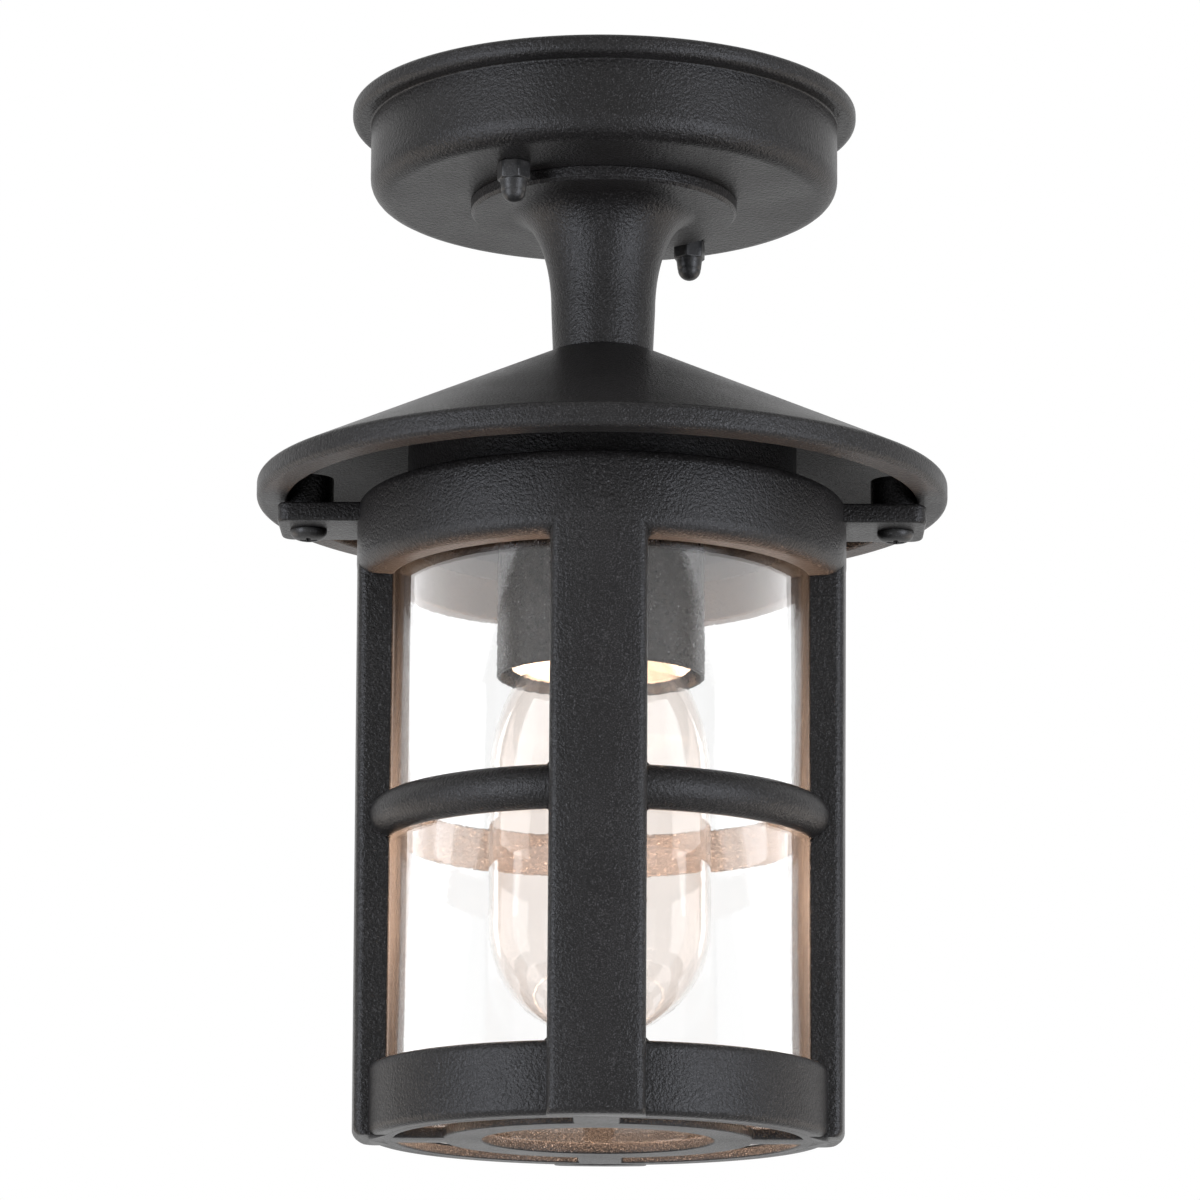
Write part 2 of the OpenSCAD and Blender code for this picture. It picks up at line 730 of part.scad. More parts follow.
// The ceramic holder: a wiring chamber above, the socket below
module lampholder_body() {
  color("#ece6d8") difference() {
    rotate_extrude() {
      soft_box(0, web_z, holder_top_d / 2, holder_top_z, top_out = 4);
      soft_box(0, socket_low_z, holder_d / 2, web_z + 1, top_out = 1);
    }
    bore(tube_d / 2 + thread_gap, chamber_z - 1, holder_top_z + 1);
    bore(holder_top_d / 2 - 3.5, web_z, chamber_z);
    bore(holder_bore / 2, socket_low_z - 1, socket_z);
    bore(pin_d / 2 + slide_gap, socket_z - 1, web_z + 1);
    translate([-terminal_x, 0, 0]) bore(1.2 + thread_gap, socket_z - 1, web_z + 1);
  }
}

// The ring grips the holder's lower end, which stands on its seat, and its bell clears the lamp
module lampholder_ring() {
  bell_r = shoulder_r((cap_low_z - mouth_z) / shoulder_l) + bell_gap;
  ring_z = mouth_z + mouth_h;
  color("#ece6d8") difference() {
    rotate_extrude()
      soft_box(0, mouth_z, bell_r + mouth_face, ring_z, low_out = 0.8, top_out = 1.2);
    bore(holder_d / 2, socket_low_z, ring_z + 1);
    rotate_extrude() polygon([[0, socket_low_z + eps], [holder_bore / 2, socket_low_z + eps],
      [holder_bore / 2, socket_low_z], [bell_r, mouth_z], [bell_r, mouth_z - 1], [0, mouth_z - 1]]);
  }
}

// The shell hangs by its inner flange, which the rivet holds against the web
module screw_shell() {
  shell_r = shell_bore / 2 + shell_wall;
  color("#c9a84e") difference() {
    bore(shell_r, socket_z - shell_h, socket_z);
    bore(shell_bore / 2, socket_z - shell_h - 1, socket_z - shell_wall);
    bore(contact_d / 2 + 2, socket_z - 1, socket_z + 1);
    translate([-terminal_x, 0, 0]) bore(1.2 + thread_gap, socket_z - 1, socket_z + 1);
  }
}

module shell_rivet() {
  color("#b08f3c") translate([-terminal_x, 0, 0]) union() {
    bore(1.2, socket_z - shell_wall - eps, web_z);
    bore(2, socket_z - shell_wall - 0.7, socket_z - shell_wall);
  }
}

// Brass strip on the web that joins the live terminal to the centre contact's pin
module contact_bridge() {
  color("#c9a84e") difference() {
    translate([-pin_d / 2 - 1.6, -2.5, web_z])
      cube([terminal_x - terminal_s / 2 + pin_d / 2 + 1.6, 5, bridge_t]);
    bore(pin_d / 2 + slide_gap, web_z - 1, web_z + bridge_t + 1);
  }
}

module holder_terminals() {
  color("#c9a84e") for (side = [-1, 1]) translate([side * terminal_x, 0, 0]) difference() {
    translate([-terminal_s / 2, -terminal_s / 2, web_z]) cube(terminal_s);
    bore(1.3 + thread_gap, terminal_top_z - 3, terminal_top_z + 1);
  }
}

module holder_screws() {
  color("#b9bcc0") for (side = [-1, 1]) translate([side * terminal_x, 0, 0]) difference() {
    union() {
      bore(1.3, terminal_top_z - 2.6, terminal_top_z + eps);
      bore(2.2, terminal_top_z, terminal_top_z + 1.5);
    }
    translate([-3, -0.3, terminal_top_z + 0.9]) cube([6, 0.6, 1]);
  }
}

// Closely wound spring: a helix at a steady pitch, one ring every 45 degrees
module contact_spring() {
  r = spring_wire_d / 2;
  lift = spring_h - 2 * r - 0.04;
  steps = spring_turns * 8;
  route = [for (i = [0 : steps]) let (a = 360 * spring_turns * i / steps)
    [spring_coil_r * cos(a), spring_coil_r * sin(a), socket_z - r - 0.02 - lift * i / steps]];
  color("#d5d7da") swept(route, r, 6, [0, 0, 1]);
  echo(least_gap_between_spring_turns = lift / spring_turns - spring_wire_d);
}

module centre_contact() {
  color("#c9a84e") union() {
    bore(pin_d / 2, contact_z + contact_t - eps, web_z + 4);
    rotate_extrude() soft_box(0, contact_z, contact_d / 2, contact_z + contact_t, low_out = 0.4);
  }
}

// ---- Wiring in the ceiling plate ----

module at_poles() {
  for (i = [-1 : 1]) translate([block_x, block_y + i * pole_pitch, 0]) children();
}

block_z = plate_floor_z + block_foot;

module terminal_block() {
  color("#e8e6df") difference() {
    translate([block_x - block_w / 2, block_y - block_l / 2, block_z])
      cube([block_w, block_l, block_h]);
    at_poles() {
      translate([0, 0, pole_z]) rotate([0, 90, 0])
        cylinder(r = sleeve_r + thread_gap, h = block_w + 2, center = true);
      for (side = [-1, 1]) translate([side * 4, 0, 0]) bore(1.9, pole_z, block_z + block_h + 1);
    }
    translate([block_x, block_y + pole_pitch / 2, 0]) {
      bore(block_screw_r + nest_gap / 2, block_z - 1, block_z + block_h + 1);
      bore(2.1, block_z + block_h - 3, block_z + block_h + 1);
    }
  }
}

module block_sleeves() {
  color("#c9a84e") at_poles() difference() {
    translate([0, 0, pole_z]) rotate([0, 90, 0]) cylinder(r = sleeve_r, h = block_w - 2, center = true);
    translate([0, 0, pole_z]) rotate([0, 90, 0])
      cylinder(r = sleeve_bore_r, h = block_w, center = true);
    for (side = [-1, 1]) translate([side * 4, 0, 0]) bore(1.25 + thread_gap, pole_z, pole_z + 4);
  }
}

module block_clamp_screws() {
  color("#b9bcc0") at_poles() for (side = [-1, 1]) translate([side * 4, 0, 0]) difference() {
    union() {
      bore(1.25, pole_z + wire_d / 2 + 0.1, pole_z + 4);
      bore(1.7, pole_z + sleeve_r + 0.3, pole_z + 4);
    }
    translate([-2, -0.25, pole_z + 3.2]) cube([4, 0.5, 1]);
  }
}

module block_fixing_screw() {
  color("#b9bcc0") translate([block_x, block_y + pole_pitch / 2, 0]) difference() {
    union() {
      bore(block_screw_r, plate_floor_z - 1.6, block_z + block_h - 3 + eps);
      bore(2, block_z + block_h - 3, block_z + block_h - 1);
    }
    translate([-3, -0.3, block_z + block_h - 1.8]) cube([6, 0.6, 1]);
  }
}

module earth_lug() {
  color("#c3c6c9") translate([earth_x, earth_y, 0]) difference() {
    union() {
      bore(4, earth_boss_z, earth_boss_z + lug_t);
      translate([-lug_reach, -lug_w / 2, earth_boss_z]) cube([lug_reach - earth_screw_d / 2, lug_w, lug_t]);
    }
    bore(earth_screw_d / 2 + nest_gap / 2, earth_boss_z - 1, earth_boss_z + lug_t + 1);
  }
}

module earth_screw() {
  color("#3f8f54") translate([earth_x, earth_y, 0]) difference() {
    union() {
      bore(earth_screw_d / 2, earth_boss_z - 6, earth_boss_z + lug_t + eps);
      bore(earth_screw_d * 0.85, earth_boss_z + lug_t, earth_boss_z + lug_t + 2.4);
    }
    translate([-4, -0.4, earth_boss_z + lug_t + 1.4]) cube([8, 0.8, 2]);
  }
}

module live_wire() {
  color("#7a4a2b") swept(live_route, wire_d / 2, 8, [0, 1, 0]);
}

module neutral_wire() {
  color("#3b6fb0") swept(neutral_route, wire_d / 2, 8, [0, 1, 0]);
}

module earth_wire() {
  color("#6fae3a") swept(earth_route, wire_d / 2, 8, [0, 0, 1]);
}

// ---- Cage, glass and their fasteners ----

// Plan of one post. Its edge circles touch the ring's radius from inside, so the
// round edges run smoothly into the curved front, which post_envelope trims.
module post_plan() {
  inside = cage_bore / 2 - 1;
  outside = ring_d / 2 + 1;
  edge_y = post_w / 2 - post_edge_r;
  edge_x = sqrt(pow(ring_d / 2 - post_edge_r, 2) - edge_y * edge_y);
  lean = edge_y / edge_x;
  translate([inside, -post_w / 2]) square([edge_x - inside, post_w]);
  polygon([[inside, -inside * lean], [outside, -outside * lean],
    [outside, outside * lean], [inside, inside * lean]]);
  for (side = [-1, 1]) translate([edge_x, side * edge_y]) circle(post_edge_r);
}

// The turned envelope that trims the posts: drafted side and rounded foot
module post_envelope() {
  r_top = ring_d / 2;
  r_low = r_top - post_draft;
  rotate_extrude() intersection() {
    polygon([[0, cage_low_z], [r_low, cage_low_z],
      [r_top, ring_top_z - ring_top_r], [0, ring_top_z - ring_top_r]]);
    union() {
      soft_box(0, cage_low_z, r_low, cage_low_z + band_h, low_out = band_edge_r);
      translate([0, cage_low_z + band_h - eps]) square([r_top, cage_h - band_h]);
    }
  }
}

module ear_plan() {
  difference() {
    translate([cage_bore / 2 + 4, -ear_w / 2]) square([ear_reach - cage_bore / 2 - 4, ear_w]);
    for (side = [-1, 1]) cut_corner(ear_reach, side * ear_w / 2, -1, -side, ear_corner_r);
  }
}

module arc_slots() {
  difference() {
    tube(slot_out_d / 2, slot_in_d / 2, cage_low_z - 1, base_top_z + 1);
    for (turn = [0, 90]) rotate(turn) translate([-slot_out_d, -spoke_w / 2, cage_low_z - 2])
      cube([2 * slot_out_d, spoke_w, base_t + 4]);
  }
}

// One casting: top ring with ears, four posts, half-round ring, bottom band and plate
module cage() {
  color("#2a2b2e") difference() {
    union() {
      rotate_extrude() soft_box(cage_bore / 2 - 1, ring_top_z - ring_h, ring_d / 2, ring_top_z,
        low_out = ring_low_r, top_out = ring_top_r);
      rotate_extrude() translate([cage_bore / 2 - nest_gap, mid_ring_z]) circle(mid_ring_r);
      rotate_extrude() soft_box(0, cage_low_z, band_d / 2, cage_low_z + band_h,
        low_out = band_edge_r, top_out = band_edge_r);
      intersection() {
        translate([0, 0, cage_low_z - 1]) linear_extrude(cage_h - ring_top_r)
          for (turn = [0 : 90 : 270]) rotate(turn) post_plan();
        post_envelope();
      }
      for (turn = [0, 180]) rotate(turn) translate([0, 0, ear_top_z - ear_t])
        linear_extrude(ear_t) ear_plan();
    }
    bore(cage_bore / 2, base_top_z, ring_top_z + 1);
    bore(lamp_hole_d / 2, cage_low_z - 1, base_top_z + 1);
    arc_slots();
    at_ears() bore(screw_hole_r, ear_top_z - ear_t - 1, ear_top_z + 1);
  }
}

module cage_screws() {
  head_z = ear_top_z - ear_t;
  color("#232426") at_ears() difference() {
    union() {
      bore(screw_d / 2, head_z - eps, ear_top_z + screw_bite);
      rotate_extrude() soft_box(0, head_z - screw_head_h, screw_head_d / 2, head_z,
        low_out = screw_head_h * 0.8);
    }
    for (turn = [0, 90]) rotate(turn) translate([-2.2, -0.5, head_z - screw_head_h - 1])
      cube([4.4, 1, 2.6]);
  }
}

module glass_cylinder() {
  color("#dfe8ea", 0.35) tube(glass_d / 2, glass_d / 2 - glass_wall, glass_low_z, glass_top_z);
}

module glass_top_gasket() {
  color("#efece6") tube(glass_d / 2, skirt_d / 2 + thread_gap, glass_top_z, lip_low_z);
}

module glass_bottom_gasket() {
  color("#efece6") tube(glass_d / 2, glass_d / 2 - glass_wall, base_top_z, glass_low_z);
}

// ---- Lamp ----

lamp_r = lamp_d / 2;
neck_r = lamp_neck_d / 2;
neck_z = cap_low_z + 3;
ball_z = lamp_low_z + lamp_r;
glass_steps = 16;

// The shoulder is a skewed cosine: it swells early, as the lamp's does. Points are
// closer together near the cap, where it turns fastest.
function shoulder_r(t) = neck_r + (lamp_r - neck_r) * (1 - cos(180 * pow(t, 0.45))) / 2;
function shoulder_t(i) = pow(i / glass_steps, 1.4);

module lamp_outline(inset) {
  polygon(concat(
    [[0, neck_z], [neck_r - inset, neck_z]],
    [for (i = [0 : glass_steps]) let (t = shoulder_t(i))
      [shoulder_r(t) - inset, cap_low_z - shoulder_l * t]],
    [for (i = [0 : glass_steps]) let (a = 90 * i / glass_steps)
      [(lamp_r - inset) * cos(a), ball_z - (lamp_r - inset) * sin(a)]]));
}

module bulb_glass() {
  color("#f3ead6", 0.35) rotate_extrude() difference() {
    lamp_outline(0);
    lamp_outline(lamp_wall);
    translate([-1, neck_z - eps]) square([neck_r - lamp_wall + 1, 1]);
  }
}

// Cap with rolled thread grooves, drawn as rings at the thread's pitch
module bulb_cap() {
  cap_r = cap_d / 2;
  cap_wall = 0.45;
  color("#cfd1d3") difference() {
    rotate_extrude() difference() {
      soft_box(0, cap_low_z, cap_r, cap_top_z, low_out = 0.4, top_out = 2.2);
      for (i = [0 : 3]) translate([cap_r + cap_pitch / 4, cap_low_z + 6.5 + i * cap_pitch])
        circle(cap_pitch / 4 + cap_groove);
    }
    bore(neck_r + thread_gap, cap_low_z - 1, neck_z + 0.6);
    bore(cap_r - cap_groove - cap_wall - 0.2, neck_z, cap_top_z - cap_wall);
    bore(5.2, cap_top_z - 1, cap_top_z + 1);
  }
}

module cap_insulator() {
  color("#17171a") difference() {
    rotate_extrude() polygon([[0, cap_top_z - 1.4], [5.1, cap_top_z - 1.4], [5.1, cap_top_z],
      [9, cap_top_z], [5.4, lamp_top_z - 0.9], [0, lamp_top_z - 0.9]]);
    bore(1.2, cap_top_z - 2, lamp_top_z);
  }
}

module cap_contact() {
  color("#b7b9bb") union() {
    bore(1.15, cap_top_z - 1.4, lamp_top_z - 0.9 + eps);
    rotate_extrude() soft_box(0, lamp_top_z - 0.9, 4.6, lamp_top_z, top_out = 0.5);
  }
}

mount_top_r = neck_r - lamp_wall - thread_gap;
tip_r = 1.8;
lead_spread = 4;

// Glass mount: a flare sealed in the neck, a tube, and the flat press that holds the leads
module bulb_mount() {
  color("#e6eeee", 0.5) union() {
    rotate_extrude() difference() {
      polygon([[0, neck_z], [mount_top_r, neck_z], [mount_top_r, neck_z - 1], [5, neck_z - 9],
        [4.2, press_z + 6], [0, press_z + 6]]);
      polygon([[-1, neck_z + 1], [mount_top_r - 1, neck_z + 1], [4, neck_z - 9], [3.2, press_z + 8],
        [-1, press_z + 8]]);
    }
    translate([-lead_spread - 1.2, -1.5, press_z]) cube([2 * lead_spread + 2.4, 3, 7]);
    bore(1.1, tip_z + 1, press_z + eps);
    translate([0, 0, tip_z]) sphere(tip_r);
  }
}

// Straight wire between two points
module strut(a, b, r) {
  d = b - a;
  turn_z = atan2(d[1], d[0]);
  lean = acos(d[2] / norm(d));
  translate(a) rotate([0, lean, turn_z]) cylinder(r = r, h = norm(d));
}

filament_wire_r = 0.45;
weld_gap = 0.1;
weld_z = filament_z + filament_wire_r + weld_gap;

module lead_wires() {
  color("#9a9ea2") for (side = [-1, 1])
    strut([side * lead_spread, 0, press_z - weld_gap], [side * filament_r, 0, weld_z], 0.3);
}

module filament_supports() {
  color("#9a9ea2") for (turn = [-135, -90, -45]) rotate(turn)
    strut([tip_r + 2 * weld_gap, 0, tip_z], [filament_r, 0, weld_z], 0.18);
}

// Coiled filament as one smooth half circle between the leads
module filament() {
  color("#ffb45a") translate([0, 0, filament_z]) rotate(180) rotate_extrude(angle = 180)
    translate([filament_r, 0]) circle(filament_wire_r);
}

ceiling_gasket();
fixing_bar();
stud_bar();
bar_studs();
stud_lock_nuts();
ceiling_plate();
dome_nuts();
stem();
stem_seal();
stem_tube();
tube_bush();
tube_top_nut();
tube_top_washer();
roof();
tube_bottom_washer();
tube_bottom_nut();
lampholder_cup();
lampholder_body();
lampholder_ring();
screw_shell();
shell_rivet();
contact_bridge();
holder_terminals();
holder_screws();
contact_spring();
centre_contact();
terminal_block();
block_sleeves();
block_clamp_screws();
block_fixing_screw();
earth_screw();
earth_lug();
live_wire();
neutral_wire();
earth_wire();
cage();
cage_screws();
glass_cylinder();
glass_top_gasket();
glass_bottom_gasket();
bulb_glass();
bulb_cap();
cap_insulator();
cap_contact();
bulb_mount();
lead_wires();
filament_supports();
filament();
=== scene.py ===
# %% [markdown]
# # Porch ceiling lantern: looks round a fixed CAD frame
# The lantern's true sizes live in its CAD model. This notebook loads that model, builds the pieces that
# show as smooth surfaces worked out with numpy, gives every piece a material made of nodes, and then sets
# up a camera and soft light as in the photograph. Nothing in the CAD frame is moved or reshaped.

# %% Load the fixed frame
import json
import math

import bmesh
import bpy
import numpy as np
from mathutils import Matrix, Quaternion, Vector


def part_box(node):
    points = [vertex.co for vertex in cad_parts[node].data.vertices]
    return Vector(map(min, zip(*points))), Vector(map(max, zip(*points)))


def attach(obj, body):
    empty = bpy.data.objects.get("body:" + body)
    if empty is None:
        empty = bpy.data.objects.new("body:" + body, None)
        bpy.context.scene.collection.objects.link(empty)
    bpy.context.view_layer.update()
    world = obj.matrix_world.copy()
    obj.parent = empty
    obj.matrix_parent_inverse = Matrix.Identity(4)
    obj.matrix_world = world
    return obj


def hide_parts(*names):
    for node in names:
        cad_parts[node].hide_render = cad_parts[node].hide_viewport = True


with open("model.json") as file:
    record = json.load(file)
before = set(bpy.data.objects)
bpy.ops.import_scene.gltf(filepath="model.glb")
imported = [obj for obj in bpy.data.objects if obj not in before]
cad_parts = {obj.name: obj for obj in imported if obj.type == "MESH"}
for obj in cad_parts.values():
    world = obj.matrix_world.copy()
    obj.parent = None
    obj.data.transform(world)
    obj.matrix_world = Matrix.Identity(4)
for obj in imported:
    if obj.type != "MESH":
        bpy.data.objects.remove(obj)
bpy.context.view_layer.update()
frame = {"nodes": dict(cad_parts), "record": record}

nodes = frame["nodes"]
MM = 0.001

# %% [markdown]
# ## Where the main levels are
# A lantern is turned on one axis, so most of its shape is a list of radii and heights. The heights come
# from the CAD nodes' own boxes, in millimetres from the ceiling down, so that a new piece always sits
# where the old one was. Only radii that a box can't give are written as numbers.


# %% Read heights and radii from the frame
def low(node):
    """Lowest height of a CAD node, in millimetres."""
    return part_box(node)[0].z / MM


def top(node):
    """Highest height of a CAD node, in millimetres."""
    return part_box(node)[1].z / MM


def reach(node):
    """Greatest distance of a CAD node along X from the axis, in millimetres."""
    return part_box(node)[1].x / MM


PLATE_LOW = low("ceiling_plate")
ROOF_TOP, LIP_LOW = top("roof"), low("glass_top_gasket") + 2.0
SKIRT_LOW = low("roof")
CAGE_TOP, CAGE_LOW = top("cage"), low("cage")
EAR_TOP = CAGE_TOP - 2.0
CUP_LOW, CUP_TOP = low("lampholder_cup"), top("lampholder_cup")
LAMP_LOW, LAMP_R = low("bulb_glass"), reach("bulb_glass")
CAP_LOW = low("bulb_cap")
print("levels:", [round(v, 2) for v in (PLATE_LOW, ROOF_TOP, LIP_LOW, CAGE_TOP, CAGE_LOW, LAMP_LOW)])

# %% [markdown]
# ## Grids, outlines and solids of revolution
# Cast, turned and blown parts are all surfaces that one outline sweeps out. So three tools are enough:
# a grid of points turned into faces, an outline whose corners have a radius, and a turn round the axis.
# Working on whole arrays keeps this quick and short. A corner gets two extra points just outside its arc,
# which keep the flat faces next to it flat when the mesh is shaded smooth.


# %% Outlines with rounded corners
def rounded(corners, radii, steps=6, hold=0.25):
    """Closed outline: each corner is replaced by an arc that touches both of its sides.

    The arc's centre lies on the corner's bisector at radius / sin(half angle), and the arc is swept by
    mixing its two end directions in proportion to the sines of the angles still to go.
    """
    c = np.array(corners, float)
    r = np.maximum(np.broadcast_to(np.array(radii, float), len(c)), 0.02)[:, None]
    back, ahead = np.roll(c, 1, 0) - c, np.roll(c, -1, 0) - c
    len_a = np.linalg.norm(back, axis=1, keepdims=True)
    len_b = np.linalg.norm(ahead, axis=1, keepdims=True)
    a, b = back / len_a, ahead / len_b
    half = np.arccos(np.clip((a * b).sum(1, keepdims=True), -1, 1)) / 2
    cut = r / np.tan(half)
    centre = c + (a + b) / np.linalg.norm(a + b, axis=1, keepdims=True) * r / np.sin(half)
    start, end = (c + a * cut - centre) / r, (c + b * cut - centre) / r
    swing = np.pi - 2 * half
    t = np.linspace(0, 1, steps + 1)[None, :, None]
    mix = np.sin((1 - t) * swing[:, None]) * start[:, None] + np.sin(t * swing[:, None]) * end[:, None]
    arc = centre[:, None] + r[:, None] * mix / np.sin(swing)[:, None]
    before = c + a * (cut + np.minimum(hold, (len_a - cut) * 0.2))
    after = c + b * (cut + np.minimum(hold, (len_b - cut) * 0.2))
    return np.concatenate([before[:, None], arc, after[:, None]], 1).reshape(-1, 2)


print("a rounded square has", len(rounded([(0, 0), (1, 0), (1, 1), (0, 1)], 0.1)), "points")


# %% [markdown]
# ## From points to faces
# A turned solid is a sheet of points that has been rolled up: rows follow the outline, and columns go
# round the axis. Four neighbours make one face. Worked out for the whole sheet at once, the faces cost
# one line, and the sign of the volume they enclose tells whether they look outwards.


# %% Grids of points and their faces
def grid(points, wrap_rows=False):
    """One closed part from a grid of points, rows by columns: four neighbours make a face.

    Its volume is the sum of the signed tetrahedra between its middle and the faces, and the faces are
    turned round when that sum is negative, so they always point outwards.
    """
    rows, cols = points.shape[:2]
    flat = points.reshape(-1, 3)
    i = np.arange(rows if wrap_rows else rows - 1)[:, None]
    j = np.arange(cols)[None, :]
    i2, j2 = (i + 1) % rows, (j + 1) % cols
    quads = np.stack(np.broadcast_arrays(i * cols + j, i * cols + j2, i2 * cols + j2, i2 * cols + j), -1)
    quads = quads.reshape(-1, 4)
    p = flat[quads] - flat.mean(0)
    volume = (np.cross(p[:, 0], p[:, 1]) * p[:, 2]).sum() + (np.cross(p[:, 0], p[:, 2]) * p[:, 3]).sum()
    return flat, quads if volume > 0 else quads[:, ::-1]


def turned(outline, turns=240, at=(0, 0)):
    """Solid of revolution: x = radius cos a, y = radius sin a, z = height, for a once round the axis."""
    a = np.linspace(0, 2 * np.pi, turns, endpoint=False)[None, :]
    r, z = outline[:, 0][:, None], outline[:, 1][:, None]
    points = np.stack(np.broadcast_arrays(r * np.cos(a) + at[0], r * np.sin(a) + at[1], z + 0 * a), -1)
    return grid(points, wrap_rows=True)


print("turning, gridding and rounding are ready")


# %% [markdown]
# ## From a mesh to a piece
# A piece is a mesh that knows which body it moves with, which finish it wears and which CAD node it
# stands for. Points that fall together, such as those at a pole, are welded here, once for all pieces.


# %% Pieces
WELD = 1e-7


def piece(name, parts, body, slot, *stands_for):
    """Joins (points, faces) parts, in millimetres, into one welded, smooth mesh that rides on a body."""
    start = np.cumsum([0] + [len(p) for p, _ in parts])
    points = np.concatenate([p for p, _ in parts]) * MM
    quads = np.concatenate([q + s for (_, q), s in zip(parts, start)])
    mesh = bpy.data.meshes.new(name)
    mesh.from_pydata(points.tolist(), [], quads.tolist())
    tidy = bmesh.new()
    tidy.from_mesh(mesh)
    bmesh.ops.remove_doubles(tidy, verts=tidy.verts, dist=WELD)
    tidy.to_mesh(mesh)
    tidy.free()
    mesh.polygons.foreach_set("use_smooth", np.ones(len(mesh.polygons), bool))
    obj = bpy.data.objects.new(name, mesh)
    bpy.context.scene.collection.objects.link(obj)
    mesh.materials.append(by_slot[slot])
    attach(obj, body)
    if stands_for:
        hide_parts(*stands_for)
    print(f"{name}: {len(mesh.polygons)} faces")
    return obj


print("points closer than", round(WELD / MM, 6), "mm are welded")


# %% [markdown]
# ## Finishes: one grain group and a material for each slot
# Powder coat, plating, ceramic and rubber look different mainly in three things: how their colour drifts,
# how their gloss drifts and how bumpy they are. One node group gives all three from three noises: a
# coarse one for mottling, a fine one for the grain and a finer one whose peaks paint light specks into
# the colour as painted glints, where the grain would catch the light. Each material places it with its
# own sizes, and keeps its own shader, because metal and glass are properties of a whole surface.


# %% The shared grain group
def grain_group():
    """Noise in millimetres: mottled colour with painted glints, mottled roughness and a grain height, each
    with a strength.
    """
    group = bpy.data.node_groups.new("surface_grain", "ShaderNodeTree")
    face = group.interface
    sockets = [("Vector", "NodeSocketVector", None), ("Colour", "NodeSocketColor", None),
               ("Drift colour", "NodeSocketColor", None), ("Drift size", "NodeSocketFloat", 12.0),
               ("Drift", "NodeSocketFloat", 0.3), ("Grain size", "NodeSocketFloat", 1.0),
               ("Roughness", "NodeSocketFloat", 0.4), ("Roughness drift", "NodeSocketFloat", 0.1),
               ("Speck", "NodeSocketFloat", 0.0), ("Shade", "NodeSocketFloat", 0.0)]
    for name, kind, value in sockets:
        made = face.new_socket(name=name, in_out="INPUT", socket_type=kind)
        if value is not None:
            made.default_value = value
    for name, kind in (("Colour", "NodeSocketColor"), ("Roughness", "NodeSocketFloat"),
                       ("Height", "NodeSocketFloat")):
        face.new_socket(name=name, in_out="OUTPUT", socket_type=kind)
    new, link = group.nodes.new, group.links.new
    given, out = new("NodeGroupInput"), new("NodeGroupOutput")

    def maths(kind, a, b):
        node = new("ShaderNodeMath")
        node.operation = kind
        for socket, value in zip(node.inputs, (a, b)):
            if isinstance(value, (int, float)):
                socket.default_value = value
            else:
                link(value, socket)
        return node.outputs[0]

    def noise(size, detail):
        node = new("ShaderNodeTexNoise")
        node.inputs["Detail"].default_value = detail
        link(given.outputs["Vector"], node.inputs["Vector"])
        link(maths("DIVIDE", 1000.0, size), node.inputs["Scale"])
        return node.outputs["Fac"]

    coarse = noise(given.outputs["Drift size"], 3.0)
    fine = noise(given.outputs["Grain size"], 2.0)
    finest = noise(maths("MULTIPLY", given.outputs["Grain size"], 0.45), 1.0)
    mask = maths("MULTIPLY", maths("SUBTRACT", coarse, 0.5), 2.0)
    blend = new("ShaderNodeMix")
    blend.data_type = "RGBA"
    share = maths("MULTIPLY", maths("ADD", maths("MULTIPLY", mask, 1.6), 0.5), given.outputs["Drift"])
    dots = maths("MULTIPLY", maths("SUBTRACT", finest, 0.5), given.outputs["Shade"])
    link(maths("ADD", share, dots), blend.inputs["Factor"])
    link(given.outputs["Colour"], blend.inputs[6])
    link(given.outputs["Drift colour"], blend.inputs[7])
    # Painted glints: the finest noise's highest peaks mix a light grey into the colour, which stands in
    # for light caught by the grain.
    peaks = maths("MAXIMUM", maths("SUBTRACT", finest, 0.66), 0.0)
    glint = maths("MULTIPLY", peaks, given.outputs["Speck"])
    painted_glint = new("ShaderNodeMix")
    painted_glint.data_type = "RGBA"
    link(glint, painted_glint.inputs["Factor"])
    link(blend.outputs[2], painted_glint.inputs[6])
    painted_glint.inputs[7].default_value = (0.8, 0.8, 0.82, 1)
    link(painted_glint.outputs[2], out.inputs["Colour"])
    rough = maths("ADD", given.outputs["Roughness"],
                  maths("MULTIPLY", mask, given.outputs["Roughness drift"]))
    link(maths("ADD", rough, maths("MULTIPLY", maths("SUBTRACT", fine, 0.5),
                                   given.outputs["Roughness drift"])), out.inputs["Roughness"])
    link(maths("ADD", fine, maths("MULTIPLY", finest, 0.35)), out.inputs["Height"])
    return group


GRAIN = grain_group()
print("grain group:", len(GRAIN.nodes), "nodes")


# %% [markdown]
# ## One recipe for every solid finish
# Each finish is the same small tree: object coordinates, the grain group, a bump and a shader. Only its
# values differ, so a function makes it. The values are named as a finisher would say them, and sizes are
# in millimetres, which makes it easy to compare them with the grain in the photograph.


# %% Finish: one material from a few plain values
by_slot = {}
